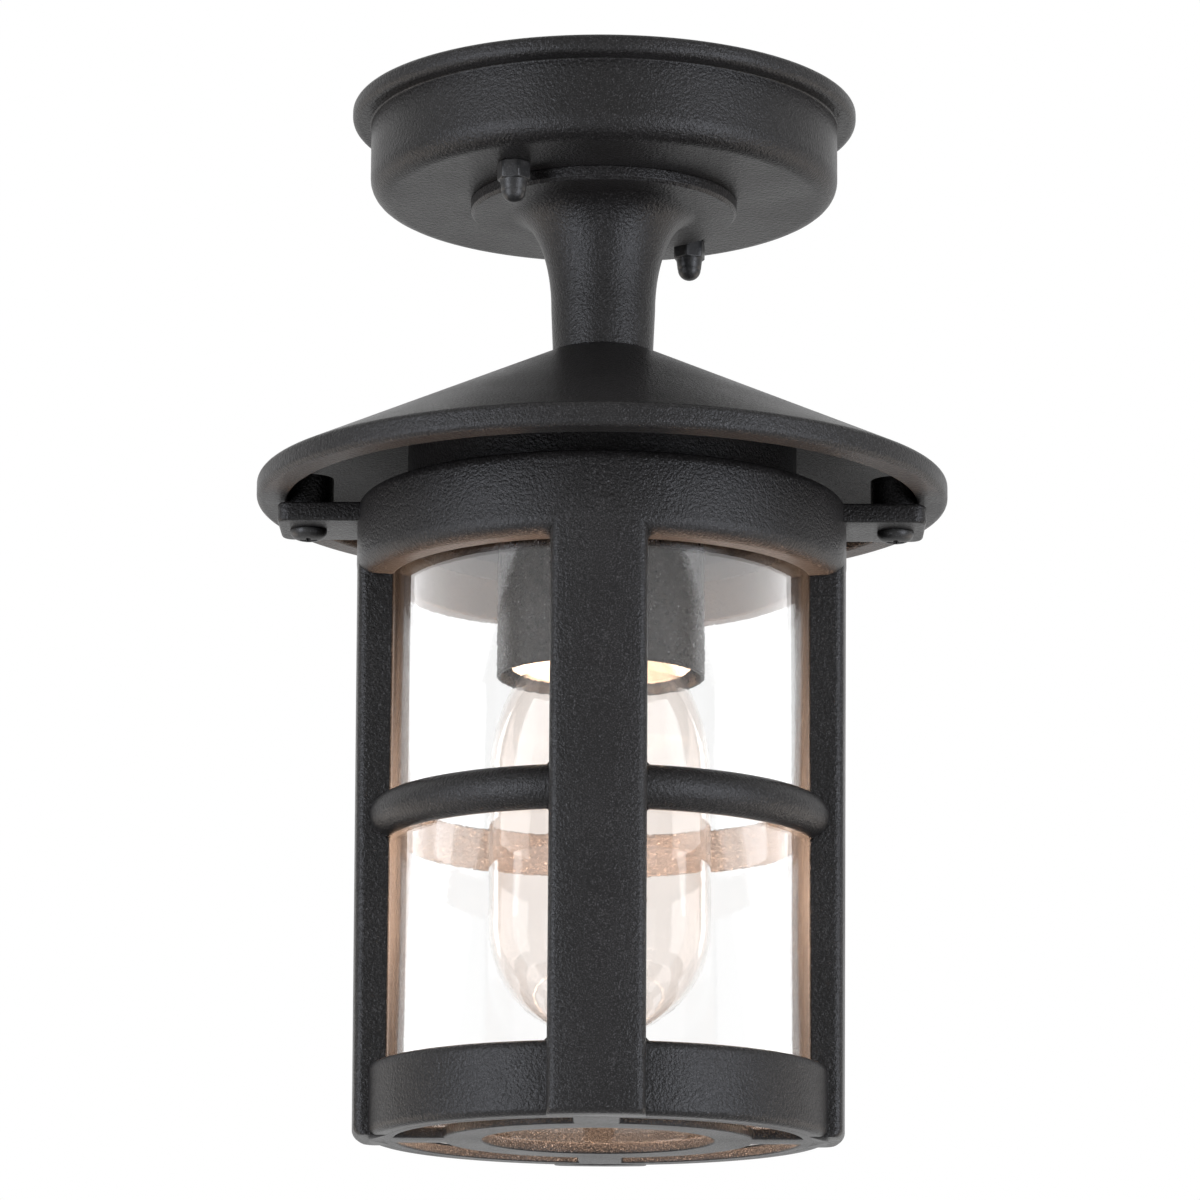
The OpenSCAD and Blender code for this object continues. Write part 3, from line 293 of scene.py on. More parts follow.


# The glint strength sets how many light specks are painted into the colour as painted glints of light.
def finish(name, colour, drift_colour, rough=0.45, metal=0.0, drift=0.5, drift_mm=14.0, grain_mm=1.0,
           depth_mm=0.05, rough_drift=0.08, painted_glint=0.0, shade=0.0, coat=0.0, specular=0.5,
           stretch=(1, 1, 1)):
    """A solid finish: the grain group feeds colour, roughness and bump; the shader has the rest."""
    material = bpy.data.materials.new(name)
    material.use_nodes = True
    tree = material.node_tree
    shader = tree.nodes["Principled BSDF"]
    place, grain, bump = (tree.nodes.new(k) for k in
                          ("ShaderNodeTexCoord", "ShaderNodeGroup", "ShaderNodeBump"))
    squeeze = tree.nodes.new("ShaderNodeMapping")
    squeeze.inputs["Scale"].default_value = stretch
    grain.node_tree = GRAIN
    values = {"Colour": (*colour, 1), "Drift colour": (*drift_colour, 1), "Drift size": drift_mm,
              "Drift": drift, "Grain size": grain_mm, "Roughness": rough,
              "Roughness drift": rough_drift, "Speck": painted_glint, "Shade": shade}
    for key, value in values.items():
        grain.inputs[key].default_value = value
    tree.links.new(place.outputs["Object"], squeeze.inputs["Vector"])
    tree.links.new(squeeze.outputs["Vector"], grain.inputs["Vector"])
    tree.links.new(grain.outputs["Colour"], shader.inputs["Base Color"])
    tree.links.new(grain.outputs["Roughness"], shader.inputs["Roughness"])
    tree.links.new(grain.outputs["Height"], bump.inputs["Height"])
    tree.links.new(bump.outputs["Normal"], shader.inputs["Normal"])
    bump.inputs["Strength"].default_value = 1.0
    bump.inputs["Distance"].default_value = depth_mm * MM
    shader.inputs["Metallic"].default_value = metal
    shader.inputs["Coat Weight"].default_value = coat
    shader.inputs["Coat Roughness"].default_value = 0.1
    shader.inputs["Specular IOR Level"].default_value = specular
    by_slot[name] = material
    return material


# The coat and the black steel get painted glints: light specks in their colour that stand in for light
# caught by the grain.
coat = finish("dark_powder_coat", (0.005, 0.0046, 0.0044), (0.0185, 0.017, 0.0163), rough=0.35,
              drift=0.35, drift_mm=30, grain_mm=0.82, depth_mm=0.29, rough_drift=0.12, painted_glint=0.3,
              shade=4.6, specular=0.17)
black_steel = finish("black_steel", (0.008, 0.008, 0.008), (0.02, 0.0185, 0.017), rough=0.38,
                     drift_mm=4, grain_mm=0.6, depth_mm=0.05, painted_glint=0.6, shade=1.5, specular=0.25)
print("made", coat.name, "and", black_steel.name)

# %% [markdown]
# ## Zinc, brass, ceramic, rubber and plastic
# The small pieces are bought parts, and each trade has its own surface: zinc is brushed along one
# direction, ceramic has a glaze over it, foam is rough and dull. Their grain is far finer than the cast
# coat's, so that they look smaller and more exact beside it.

# %% Finishes of the hidden and small pieces
finish("zinc_steel", (0.62, 0.63, 0.65), (0.48, 0.49, 0.52), rough=0.34, metal=1.0,
       drift_mm=5, grain_mm=0.5, depth_mm=0.01, stretch=(1, 0.15, 1))
# The black sheet gets strong painted glints: light specks in its colour that stand in for light caught by
# its grain.
finish("black_sheet", (0.004, 0.003, 0.0024), (0.022, 0.016, 0.012), rough=0.3,
       drift_mm=2, grain_mm=0.9, depth_mm=0.14, rough_drift=0.15, painted_glint=3.0, shade=4.0,
       specular=0.13)
finish("brass", (0.72, 0.5, 0.19), (0.55, 0.36, 0.13), rough=0.3, metal=1.0, drift_mm=4,
       grain_mm=0.5, depth_mm=0.01)
finish("spring_steel", (0.7, 0.71, 0.73), (0.5, 0.51, 0.54), rough=0.25, metal=1.0,
       drift_mm=1.5, grain_mm=0.2, depth_mm=0.004)
finish("porcelain", (0.84, 0.8, 0.72), (0.74, 0.7, 0.62), rough=0.22, drift_mm=9,
       grain_mm=1.5, depth_mm=0.015, coat=0.4)
finish("gasket_black", (0.02, 0.02, 0.021), (0.04, 0.04, 0.041), rough=0.85, drift_mm=3,
       grain_mm=0.5, depth_mm=0.12)
finish("gasket_white", (0.82, 0.79, 0.74), (0.7, 0.67, 0.62), rough=0.6, drift_mm=6,
       grain_mm=0.6, depth_mm=0.02)
finish("white_plastic", (0.8, 0.78, 0.73), (0.7, 0.68, 0.63), rough=0.42, drift_mm=8,
       grain_mm=0.7, depth_mm=0.02)
finish("nickel_cap", (0.66, 0.65, 0.62), (0.5, 0.48, 0.45), rough=0.26, metal=1.0,
       drift_mm=4, grain_mm=0.6, depth_mm=0.008)
finish("black_insulator", (0.01, 0.01, 0.012), (0.03, 0.028, 0.03), rough=0.12, drift_mm=3,
       grain_mm=0.8, depth_mm=0.01)
finish("lead_wire", (0.45, 0.46, 0.48), (0.3, 0.3, 0.32), rough=0.3, metal=1.0, drift_mm=3,
       grain_mm=0.3, depth_mm=0.004)
finish("wire_brown", (0.13, 0.05, 0.02), (0.1, 0.04, 0.018), rough=0.38, drift_mm=5,
       grain_mm=0.6, depth_mm=0.01)
finish("wire_blue", (0.03, 0.11, 0.36), (0.025, 0.09, 0.29), rough=0.38, drift_mm=5,
       grain_mm=0.6, depth_mm=0.01)
finish("wire_green", (0.12, 0.34, 0.04), (0.42, 0.46, 0.03), rough=0.38, drift_mm=5,
       grain_mm=0.6, depth_mm=0.01)
finish("green_screw", (0.03, 0.2, 0.06), (0.02, 0.14, 0.045), rough=0.3, drift_mm=3,
       grain_mm=0.4, depth_mm=0.01)
print("finishes so far:", len(bpy.data.materials))

# %% [markdown]
# ## Glass that lets the lamp's light out
# A real glass cylinder bends what is behind it, and near its edges it folds the posts into dark and warm
# streaks. That is what a refracting shader does. But a path tracer sees refracting glass as a wall between
# a lamp and a surface, so the shadow rays get a transparent shader instead. Moulded glass is never quite
# flat, and its ripple is a bump. The cylinder mirrors a little less than bare glass would, because the
# world here is white on all sides, and a real studio is darker behind the camera.


# %% Glass finishes
def glass(name, colour, dim_colour, ripple_mm, depth_mm, stretch=(1, 1, 0.25), specular=0.5):
    """A refracting shader with a drifting faint tint and a ripple, and clear for shadow rays."""
    material = finish(name, colour, dim_colour, drift_mm=25, grain_mm=ripple_mm, depth_mm=depth_mm,
                      rough_drift=0.0, stretch=stretch, specular=specular)
    tree = material.node_tree
    shader, out = tree.nodes["Principled BSDF"], tree.nodes["Material Output"]
    tree.links.remove(shader.inputs["Roughness"].links[0])
    shader.inputs["Roughness"].default_value = 0.0
    shader.inputs["Transmission Weight"].default_value = 1.0
    shader.inputs["IOR"].default_value = 1.5
    clear, path, mix = (tree.nodes.new(k) for k in
                        ("ShaderNodeBsdfTransparent", "ShaderNodeLightPath", "ShaderNodeMixShader"))
    clear.inputs["Color"].default_value = (0.96, 0.96, 0.955, 1)
    tree.links.new(path.outputs["Is Shadow Ray"], mix.inputs["Fac"])
    tree.links.new(shader.outputs[0], mix.inputs[1])
    tree.links.new(clear.outputs[0], mix.inputs[2])
    tree.links.new(mix.outputs[0], out.inputs["Surface"])
    return material


clear_glass = glass("clear_glass", (1.0, 1.0, 1.0), (0.985, 0.99, 0.987), ripple_mm=1.1,
                    depth_mm=0.006, stretch=(1, 1, 0.7), specular=0.24)
lamp_glass = glass("lamp_glass", (0.94, 0.905, 0.88), (0.91, 0.87, 0.845), ripple_mm=9.0,
                   depth_mm=0.03)
warm_shader = lamp_glass.node_tree.nodes["Principled BSDF"]
warm_shader.inputs["Emission Color"].default_value = (1.0, 0.87, 0.78, 1)
warm_shader.inputs["Emission Strength"].default_value = 0.02
mount_glass = glass("mount_glass", (0.97, 0.98, 0.98), (0.9, 0.92, 0.92), ripple_mm=2.0,
                    depth_mm=0.03)
print("glasses:", clear_glass.name, lamp_glass.name, mount_glass.name)

# %% [markdown]
# ## A wire that glows
# A filament is dark tungsten, and its light hides its colour. So the material keeps a dark metal and adds
# emission from the grain group, which makes some turns of the coil a little hotter than others.


# %% Glowing filament
def glow(name, colour, strength):
    """A dark metal wire that gives light, a little unevenly along its coils."""
    material = finish(name, (0.2, 0.17, 0.15), (0.3, 0.25, 0.2), rough=0.4, metal=1.0, drift_mm=2,
                      grain_mm=0.3, depth_mm=0.002)
    tree = material.node_tree
    shader = tree.nodes["Principled BSDF"]
    warm = tree.nodes.new("ShaderNodeGroup")
    warm.node_tree = GRAIN
    warm.inputs["Colour"].default_value = (*colour, 1)
    warm.inputs["Drift colour"].default_value = (1.0, 0.62, 0.3, 1)
    warm.inputs["Drift size"].default_value = 3.0
    tree.links.new(tree.nodes["Texture Coordinate"].outputs["Object"], warm.inputs["Vector"])
    tree.links.new(warm.outputs["Colour"], shader.inputs["Emission Color"])
    shader.inputs["Emission Strength"].default_value = strength
    return material


print("the filament glows with", glow("tungsten", (1.0, 0.74, 0.45), 60.0).name)

# %% [markdown]
# ## Ceiling plate and its gasket
# The plate is a casting like a shallow bowl, open to the ceiling, with a rolled flange round its top and
# a large soft radius at its lower edge. One closed outline, turned once round, gives the wall its
# thickness and the groove for the foam gasket in the same step.

# %% Ceiling plate
plate_r, plate_in, flange_r, flange_low, tube_hole = 64.5, 61.5, 69.66, -5.2, 5.2
groove_out, groove_in, groove_deep = 67.35, 63.7, -2.0
floor_z = PLATE_LOW + 3
plate_outline = rounded(
    [(tube_hole, PLATE_LOW), (plate_r, PLATE_LOW), (plate_r, flange_low), (flange_r, flange_low),
     (flange_r, 0), (groove_out, 0), (groove_out, groove_deep), (groove_in, groove_deep), (groove_in, 0),
     (plate_in, 0), (plate_in, floor_z), (tube_hole, floor_z)],
    [0.1, 6.0, 0.5, 2.3, 1.7, 0.2, 0.1, 0.1, 0.2, 0.5, 3.0, 0.1], steps=8)
boss_top, boss_r, screw_r, root_z = -18.5, 5, 1.9, floor_z - 0.5
boss = rounded([(screw_r, boss_top), (boss_r, boss_top), (boss_r, root_z), (screw_r, root_z)], 0.3)
foot_r, foot_top = 4, floor_z + 0.98
foot = rounded([(0.02, root_z), (foot_r, root_z), (foot_r, foot_top), (0.02, foot_top)],
               [0.02, 0.02, 0.3, 0.02])
plate_bosses = [turned(boss, 64, at=(30, 14))]
plate_bosses += [turned(foot, 48, at=(-34, 4 + y)) for y in (-4.5, 4.5)]
casting = [turned(plate_outline), *plate_bosses]
piece("plate_casting", casting, "root", "dark_powder_coat", "ceiling_plate")
gasket_outline = rounded([(63.75, -1.95), (67.3, -1.95), (67.3, -0.02), (63.75, -0.02)], 0.5)
piece("flange_gasket", [turned(gasket_outline)], "root", "gasket_black", "ceiling_gasket")

# %% [markdown]
# ## Dome nuts
# A dome nut is a hexagon with a turned cap on its end. Both are the same kind of surface, a closed ring of
# points stacked along an axis, so one grid can hold them: its rings are hexagonal for the first few
# rows and round for the rest. The hexagon's corners are cut back near its ends, as a nut's chamfer is.


# %% Dome nuts
def hexagon(angle, across, soften):
    """Radius of a hexagon at an angle: half its width over the cosine of the angle from the nearest flat,
    eased towards a circle by soften."""
    off = (angle + np.pi / 6) % (np.pi / 3) - np.pi / 6
    flat = across / 2 / np.cos(off)
    return flat * (1 - soften) + np.minimum(flat, across * 0.53) * soften


def dome_nut(x, y, z_top, turn):
    """Rings of a hexagon, five millimetres high, then of a tapered dome that ends in a half ball."""
    a = np.linspace(0, 2 * np.pi, 96, endpoint=False)[None, :]
    hex_z = np.array([0, 0, -0.05, -0.4, -2.5, -4.6, -4.95, -5.0])[:, None]
    soften = np.array([1, 1, 1, 0, 0, 0, 1, 1])[:, None]
    inset = np.array([9, 0.25, 0, 0, 0, 0, 0, 0.3])[:, None]
    hex_r = np.maximum(hexagon(a + turn, 8.0, soften) - inset, 0)
    t = np.linspace(0, np.pi / 2, 12)
    dome_r = np.concatenate([[3.72, 3.66, 3.5, 3.3], 3.22 * np.cos(t)])[:, None] + 0 * a
    dome_z = np.concatenate([[-5.02, -5.3, -6.4, -8.0], -8.05 - 3.1 * np.sin(t)])[:, None]
    r, z = np.concatenate([hex_r, dome_r]), np.concatenate([hex_z, dome_z]) + 0 * a
    return grid(np.stack([r * np.cos(a) + x, r * np.sin(a) + y, z + z_top], -1))


stud_angle, stud_r, turned_by = math.radians(58.3), 45.5, (0.2, 0.75)
spots = [(s * stud_r * math.cos(stud_angle), s * stud_r * math.sin(stud_angle)) for s in (1, -1)]
nuts = [dome_nut(x, y, PLATE_LOW, k) for k, (x, y) in zip(turned_by, spots)]
piece("black_dome_nuts", nuts, "root", "black_steel", "dome_nuts")

# %% [markdown]
# ## Stem
# The stem flares like a trumpet: a quarter of an ellipse is level where it leaves the disc and upright
# where it becomes the neck. A lathe would cut it in one pass, and here one outline is turned once too.

# %% Stem
disc_low, flare_low = PLATE_LOW - 3.7, PLATE_LOW - 30.7
mouth_r, narrowing, flare_h, disc_r = 26.0, 11.7, 27.0, 36.72
t = np.linspace(0, np.pi / 2, 40)
flare = np.stack([mouth_r - narrowing * np.sin(t), flare_low + flare_h * np.cos(t)], 1)
disc = rounded([(tube_hole, PLATE_LOW - 0.02), (disc_r, PLATE_LOW - 0.02), (disc_r, disc_low + 0.9),
                (35.85, disc_low), (26.6, disc_low)], [0.1, 0.25, 0.2, 0.2, 0.02])[:-3]
neck = np.array([(13.77, ROOF_TOP + 0.6), (13.75, ROOF_TOP + 0.02), (tube_hole, ROOF_TOP + 0.02)])
stem_outline = np.concatenate([disc, flare, neck])
piece("stem_casting", [turned(stem_outline, 200)], "root", "dark_powder_coat", "stem")

# %% [markdown]
# ## Roof
# The roof is a plain cone with a thick rounded lip, and from below it also shows its inside: the wall
# under the lip, the skirt that enters the glass and the hub round the tube. One closed outline holds
# outside and inside, so the wall has its true thickness everywhere. The two screw bosses are separate
# turned pegs that reach up into the cone.

# %% Roof
pitch = math.radians(25)
slope = math.tan(pitch)
wall = 3.0 / math.cos(pitch)
cone_top_r = 14.6


def cone(radius):
    """Height of the cone's outside: it falls by the slope for each millimetre beyond the flat top."""
    return ROOF_TOP - (radius - cone_top_r) * slope


lip_r, lip_in, skirt_r, skirt_in, bead_r, hub_r, hub_h = 94.16, 85.8, 53.1, 49.6, 55.8, 13.0, 14
bead_top, screw_x = LIP_LOW + 2.5, 80.0
roof_outline = rounded(
    [(tube_hole, ROOF_TOP), (cone_top_r, ROOF_TOP), (lip_r, cone(lip_r)), (lip_r, LIP_LOW),
     (lip_in, LIP_LOW), (lip_in, cone(lip_in) - wall), (skirt_r, cone(skirt_r) - wall),
     (skirt_r, bead_top), (bead_r, bead_top), (bead_r, LIP_LOW + 0.02), (skirt_r, LIP_LOW + 0.02),
     (skirt_r, SKIRT_LOW), (skirt_r - 0.9, SKIRT_LOW), (skirt_in, SKIRT_LOW + 4.2),
     (skirt_in, cone(skirt_in) - wall), (hub_r, cone(hub_r) - wall), (hub_r, ROOF_TOP - hub_h),
     (tube_hole, ROOF_TOP - hub_h)],
    [0.1, 0.8, 1.7, 1.9, 0.8, 1.5, 2.0, 0.4, 0.4, 0.2, 0.2, 0.4, 0.25, 0.5, 2.0, 1.0, 1.0, 0.1], steps=7)
peg_r, peg_top = 6.7, cone(87) - 1.5
peg = rounded([(0, EAR_TOP), (peg_r, EAR_TOP), (peg_r, peg_top), (0, peg_top)], [0.02, 0.4, 0.2, 0.02])
pegs = [turned(peg, 64, at=(side * screw_x, 0)) for side in (-1, 1)]
piece("roof_casting", [turned(roof_outline, 288), *pegs], "root", "dark_powder_coat", "roof")

# %% [markdown]
# ## Cage
# The cage is one casting, but it is easier to see as a few simple forms that run into each other: a top
# ring, four posts, a half-round ring, a bottom band and a flat plate with a hole and arc slots. Each is a
# surface of its own. Where two of them share a face, one is kept a hair lower, so that they never fight
# for the same pixels, and small hollow corners join the posts and the rings as the sand mould did.

# %% Rings and band
bore, ring_r, band_r, post_half = 57.2, 66.6, 62.0, 12.7
ring_low = CAGE_TOP - 22.2
mid_z = CAGE_TOP - 88.0
band_top = CAGE_LOW + 19.4
top_ring = rounded([(bore, ring_low), (ring_r, ring_low), (ring_r, CAGE_TOP), (bore, CAGE_TOP)],
                   [0.8, 4.5, 3.0, 0.4], steps=10)
band = rounded([(bore, CAGE_LOW + 0.02), (band_r, CAGE_LOW + 0.02), (band_r, band_top), (bore, band_top)],
               [0.3, 2.2, 2.2, 0.5], steps=8)
bar_r, bar_at = 5.9, 56.9
half = math.acos((bore - bar_at) / bar_r)
t = np.linspace(-half, half, 28)
bar = np.concatenate([np.stack([bar_at + bar_r * np.cos(t), mid_z + bar_r * np.sin(t)], 1),
                      [(bore, mid_z + 5.2), (bore, mid_z + 2), (bore, mid_z - 2), (bore, mid_z - 5.2)]])
piece("cage_rings", [turned(top_ring), turned(bar), turned(band)], "root", "dark_powder_coat", "cage")

# %% [markdown]
# ## Posts
# A post is a flat bar whose outer face follows the rings and leans in a little, as a casting must to
# leave its mould. So one plan outline is stacked in many layers from foot to top, and only its outer
# part moves from layer to layer.


# %% Posts
def post(turn):
    """A bar with rounded outer edges: one closed plan outline, lofted up, between two circles.

    The inner circle is the cage's bore. The outer one's radius shrinks by the draft from top to bottom,
    and by a quarter circle at the foot.
    """
    half_w, edge, nick, foot_r, head = post_half, 2.6, 0.35, 2.2, CAGE_TOP - 3
    face_low, leans_over = 65.6, 170.8
    foot_z = CAGE_LOW + foot_r * (1 - np.cos(np.linspace(0, np.pi / 2, 7)))
    z = np.concatenate([[CAGE_LOW, CAGE_LOW], foot_z, np.linspace(CAGE_LOW + 2.6, head, 60), [head, head]])
    h = np.clip(z - CAGE_LOW, 0, foot_r)
    foot_cut = foot_r - np.sqrt(foot_r ** 2 - (foot_r - h) ** 2)
    face = face_low + (z - CAGE_LOW) / leans_over - foot_cut - 0.03
    shrink = np.ones(len(z))
    shrink[[0, -1]] = 0
    shift = ring_r - face
    inside = bore + 0.05
    back_y = np.linspace(nick - half_w, half_w - nick, 13)
    back = np.stack([np.sqrt(inside ** 2 - back_y ** 2), back_y], 1)
    corner_x = back[0, 0] + nick
    side_y = half_w - edge
    edge_x = math.sqrt((ring_r - edge) ** 2 - side_y ** 2)
    lean = math.atan2(side_y, edge_x)
    arc = np.linspace(np.pi / 2, lean, 9)
    right = np.stack([edge_x + edge * np.cos(arc), side_y + edge * np.sin(arc)], 1)
    fan = np.linspace(lean, -lean, 15)[1:-1]
    front = np.stack([ring_r * np.cos(fan), ring_r * np.sin(fan)], 1)
    hold = np.array([(corner_x, half_w), (corner_x + 0.3, half_w), (edge_x - 3, half_w),
                     (edge_x - 0.4, half_w)])
    plan = np.concatenate([hold, right, front, right[::-1] * [1, -1], hold[::-1] * [1, -1], back])
    outer = np.clip((plan[:, 0] - inside - 0.5) / 5.5, 0, 1)
    mid_x = inside + 4
    x = plan[None, :, 0] - shift[:, None] * outer[None, :]
    x = mid_x + (x - mid_x) * shrink[:, None]
    y = plan[None, :, 1] * shrink[:, None]
    c, s = math.cos(turn), math.sin(turn)
    return grid(np.stack([x * c - y * s, x * s + y * c, z[:, None] + 0 * x], -1))


piece("cage_posts", [post(math.radians(a)) for a in (0, 90, 180, 270)], "root", "dark_powder_coat", "cage")

# %% [markdown]
# ## Bottom plate
# The plate is cut from a flat sheet of faces laid out in rings and rays: the faces that lie in a slot are
# simply left out. Solidify then gives the sheet its thickness, and a small bevel its cast edges.


# %% Bottom plate with its hole and arc slots
def slotted_plate():
    """A flat polar grid whose spoke edges stay parallel: at radius r a spoke ends at the angle whose sine
    is half its width over r. Faces that lie inside a slot are left out."""
    hole_r, slot_in, slot_out, rim, half_spoke = 31.0, 41.5, 54.5, 57.6, 6.0
    radii = np.array([hole_r, hole_r + 0.5, 34, 38, slot_in - 0.5, slot_in, 44, 48, 52, slot_out,
                      slot_out + 0.5, rim])
    spoke = np.arcsin(half_spoke / np.clip(radii, slot_in, slot_out))[:, None]
    open_part = np.linspace(0, 1, 25)[None, :]
    gap = spoke + (np.pi / 2 - 2 * spoke) * open_part
    quarter = np.concatenate([0 * spoke, gap], 1)
    angle = np.concatenate([quarter + k * np.pi / 2 for k in range(4)], 1)
    r = radii[:, None]
    points = np.stack([r * np.cos(angle), r * np.sin(angle), 0 * angle + CAGE_LOW + 0.01], -1)
    flat, quads = grid(points)
    rows, cols = points.shape[:2]
    row, col = quads.min(1) // cols, np.tile(np.arange(cols), rows - 1)
    slot = (row >= 5) & (row < 9) & (col % 26 >= 1) & (col % 26 < 25)
    return flat, quads[~slot]


flat, quads = slotted_plate()
base = piece("cage_base", [(flat, quads)], "root", "dark_powder_coat", "cage")
normals = np.zeros(len(base.data.polygons) * 3)
base.data.polygons.foreach_get("normal", normals)
if normals.reshape(-1, 3)[:, 2].mean() > 0:
    base.data.flip_normals()
thick = base.modifiers.new("plate thickness", "SOLIDIFY")
thick.thickness, thick.offset = 3.0 * MM, -1.0
soft = base.modifiers.new("cast edges", "BEVEL")
soft.width, soft.segments, soft.limit_method = 0.45 * MM, 3, "ANGLE"
soft.angle_limit = math.radians(50)
soft.harden_normals = False

# %% [markdown]
# ## Ears
# The two ears carry the cage on the roof's pegs. They are slabs with every edge rounded: the same outline
# is drawn again and again, a little smaller towards the top and the bottom.


# %% Ears
def slab(x0, x1, half_w, corner, z0, z1, edge):
    """A block lofted from one rounded outline, which a quarter circle insets near both ends."""
    t = np.linspace(0, np.pi / 2, 6)
    inset = np.concatenate([[0], edge * (1 - np.sin(t)), edge * (1 - np.sin(t[::-1])), [0]])
    z = np.concatenate([[z0], z0 + edge * (1 - np.cos(t)), z1 - edge * (1 - np.cos(t[::-1])), [z1]])
    rows = [rounded([(x0 + d, d - half_w), (x1 - d, d - half_w), (x1 - d, half_w - d),
                     (x0 + d, half_w - d)], corner - d) for d in inset]
    rows[0], rows[-1] = rows[0] * 0 + rows[0].mean(0), rows[-1] * 0 + rows[-1].mean(0)
    return np.stack([np.column_stack([p, np.full(len(p), h)]) for p, h in zip(rows, z)])


ear_low = EAR_TOP - 5.3
ear = slab(x0=61.0, x1=88.0, half_w=12.5, corner=3.5, z0=ear_low, z1=EAR_TOP - 0.02, edge=0.9)
piece("cage_ears", [grid(ear * [s, s, 1]) for s in (1, -1)], "root", "dark_powder_coat", "cage")

# %% [markdown]
# ## Hollow corners
# Metal doesn't flow into a sharp inner corner, so the window corners at the half-round ring and at the
# bottom band are a little hollow. Each is a small wedge whose long face is a quarter of a cylinder.


# %% Hollow corners between posts and rings
def hollow_corner(turn, side, z, up, r_in, r_out, size=0.9):
    """A wedge in the corner of a window: its third side is a quarter circle that touches both edges."""
    t = np.linspace(0, np.pi / 2, 9)
    run = np.concatenate([[-0.6], [size + 0.4], size * (1 - np.sin(t[::-1])), [-0.6]])
    rise = np.concatenate([[-0.6], [-0.6], size * (1 - np.cos(t[::-1])), [size + 0.4]])
    depth = np.array([r_in, r_in, r_out, r_out])[:, None]
    shrink = np.array([0, 1, 1, 0])[:, None]
    y = side * (post_half + run.mean() + (run - run.mean())[None, :] * shrink)
    h = z + up * (rise.mean() + (rise - rise.mean())[None, :] * shrink)
    x = np.sqrt(np.maximum(depth ** 2 - y ** 2, 0))
    c, s = math.cos(turn), math.sin(turn)
    return grid(np.stack([x * c - y * s, x * s + y * c, h + 0 * x], -1))


edges = [(mid_z + 5.5, 1, 58.6), (mid_z - 5.5, -1, 58.6), (band_top, 1, 59.4)]
corners = [hollow_corner(math.radians(a), side, z, up, bore + 0.1, r_out)
           for a in (0, 90, 180, 270) for side in (1, -1) for z, up, r_out in edges]
piece("cage_hollows", corners, "root", "dark_powder_coat", "cage")

# %% [markdown]
# ## Screw heads
# A pan head is a dome of circles. Its cross is pressed in by lowering the points that lie in either arm,
# as the punch does, and a smooth step at the arm's edge keeps the dent's walls clean.


# %% Cage screws
def pan_head(x, z_top, height=3.0, radius=5.0):
    """A dome with a pressed cross: its circles' radius is the cosine of one angle, and depth the sine."""
    a = np.linspace(0, 2 * np.pi, 96, endpoint=False)[None, :]
    t = np.linspace(0, np.pi / 2, 36)
    r = np.concatenate([[0, radius], radius * np.cos(t) ** 0.7])[:, None]
    z = np.concatenate([[0, 0], -0.35 - (height - 0.4) * np.sin(t) ** 0.9])[:, None]
    px, py = r * np.cos(a), r * np.sin(a)
    arm = np.maximum(1 / (1 + np.exp((np.abs(px) - 0.5) * 14)) / (1 + np.exp((np.abs(py) - 2.1) * 9)),
                     1 / (1 + np.exp((np.abs(py) - 0.5) * 14)) / (1 + np.exp((np.abs(px) - 2.1) * 9)))
    pressed = z + 1.3 * arm * (z < -1.5)
    return grid(np.stack([px + x, py, pressed + z_top], -1))


heads = [pan_head(s * screw_x, ear_low) for s in (1, -1)]
piece("cage_screw_heads", heads, "root", "black_steel", "cage_screws")

# %% [markdown]
# ## Glass cylinder and its gaskets
# The cylinder is a plain tube with fire-polished ends. Its wall is never perfectly even, so the inner
# radius wanders by a few hundredths of a millimetre. That is far too little to see by itself, but enough
# to bend the straight edges behind the glass.

# %% Glass cylinder
glass_low, glass_top = low("glass_cylinder"), top("glass_cylinder")
glass_r, glass_in, end_h = 56.28, 53.9, 1.1
h = np.linspace(glass_low + end_h, glass_top - end_h, 60)
t = np.linspace(0, np.pi, 13)
mid_r, half_wall = (glass_r + glass_in) / 2, (glass_r - glass_in) / 2
foot = np.stack([mid_r + half_wall * np.cos(np.pi - t), glass_low + end_h - (end_h - 0.02) * np.sin(t)], 1)
head = np.stack([mid_r + half_wall * np.cos(t), glass_top - end_h + (end_h - 0.02) * np.sin(t)], 1)
tube = np.concatenate([foot, np.stack([0 * h + glass_r, h], 1)[1:-1], head,
                       np.stack([0 * h + glass_in, h[::-1]], 1)[1:-1]])
points, faces = turned(tube, 288)
a, r = np.arctan2(points[:, 1], points[:, 0]), np.hypot(points[:, 0], points[:, 1])
wander = 0.035 * (np.sin(5 * a + points[:, 2] * 0.03) + np.sin(9 * a - points[:, 2] * 0.05 + 1))
points[:, :2] *= (1 + wander * (r < mid_r - 0.5) / r)[:, None]
piece("glass_tube", [(points, faces)], "root", "clear_glass", "glass_cylinder")
for name, node, inner in (("glass_head_gasket", "glass_top_gasket", 53.2),
                          ("glass_foot_gasket", "glass_bottom_gasket", glass_in)):
    z0, z1 = low(node) + 0.02, top(node) - 0.02
    ring = rounded([(inner, z0), (glass_r, z0), (glass_r, z1), (inner, z1)], 0.4)
    piece(name, [turned(ring, 192)], "root", "gasket_white", node)

# %% [markdown]
# ## Lampholder cup
# The cup is pressed from black sheet a little over a millimetre thick, with a rounded shoulder. Its
# outline goes round the sheet, outside and inside, so the lit mouth shows a true rim.

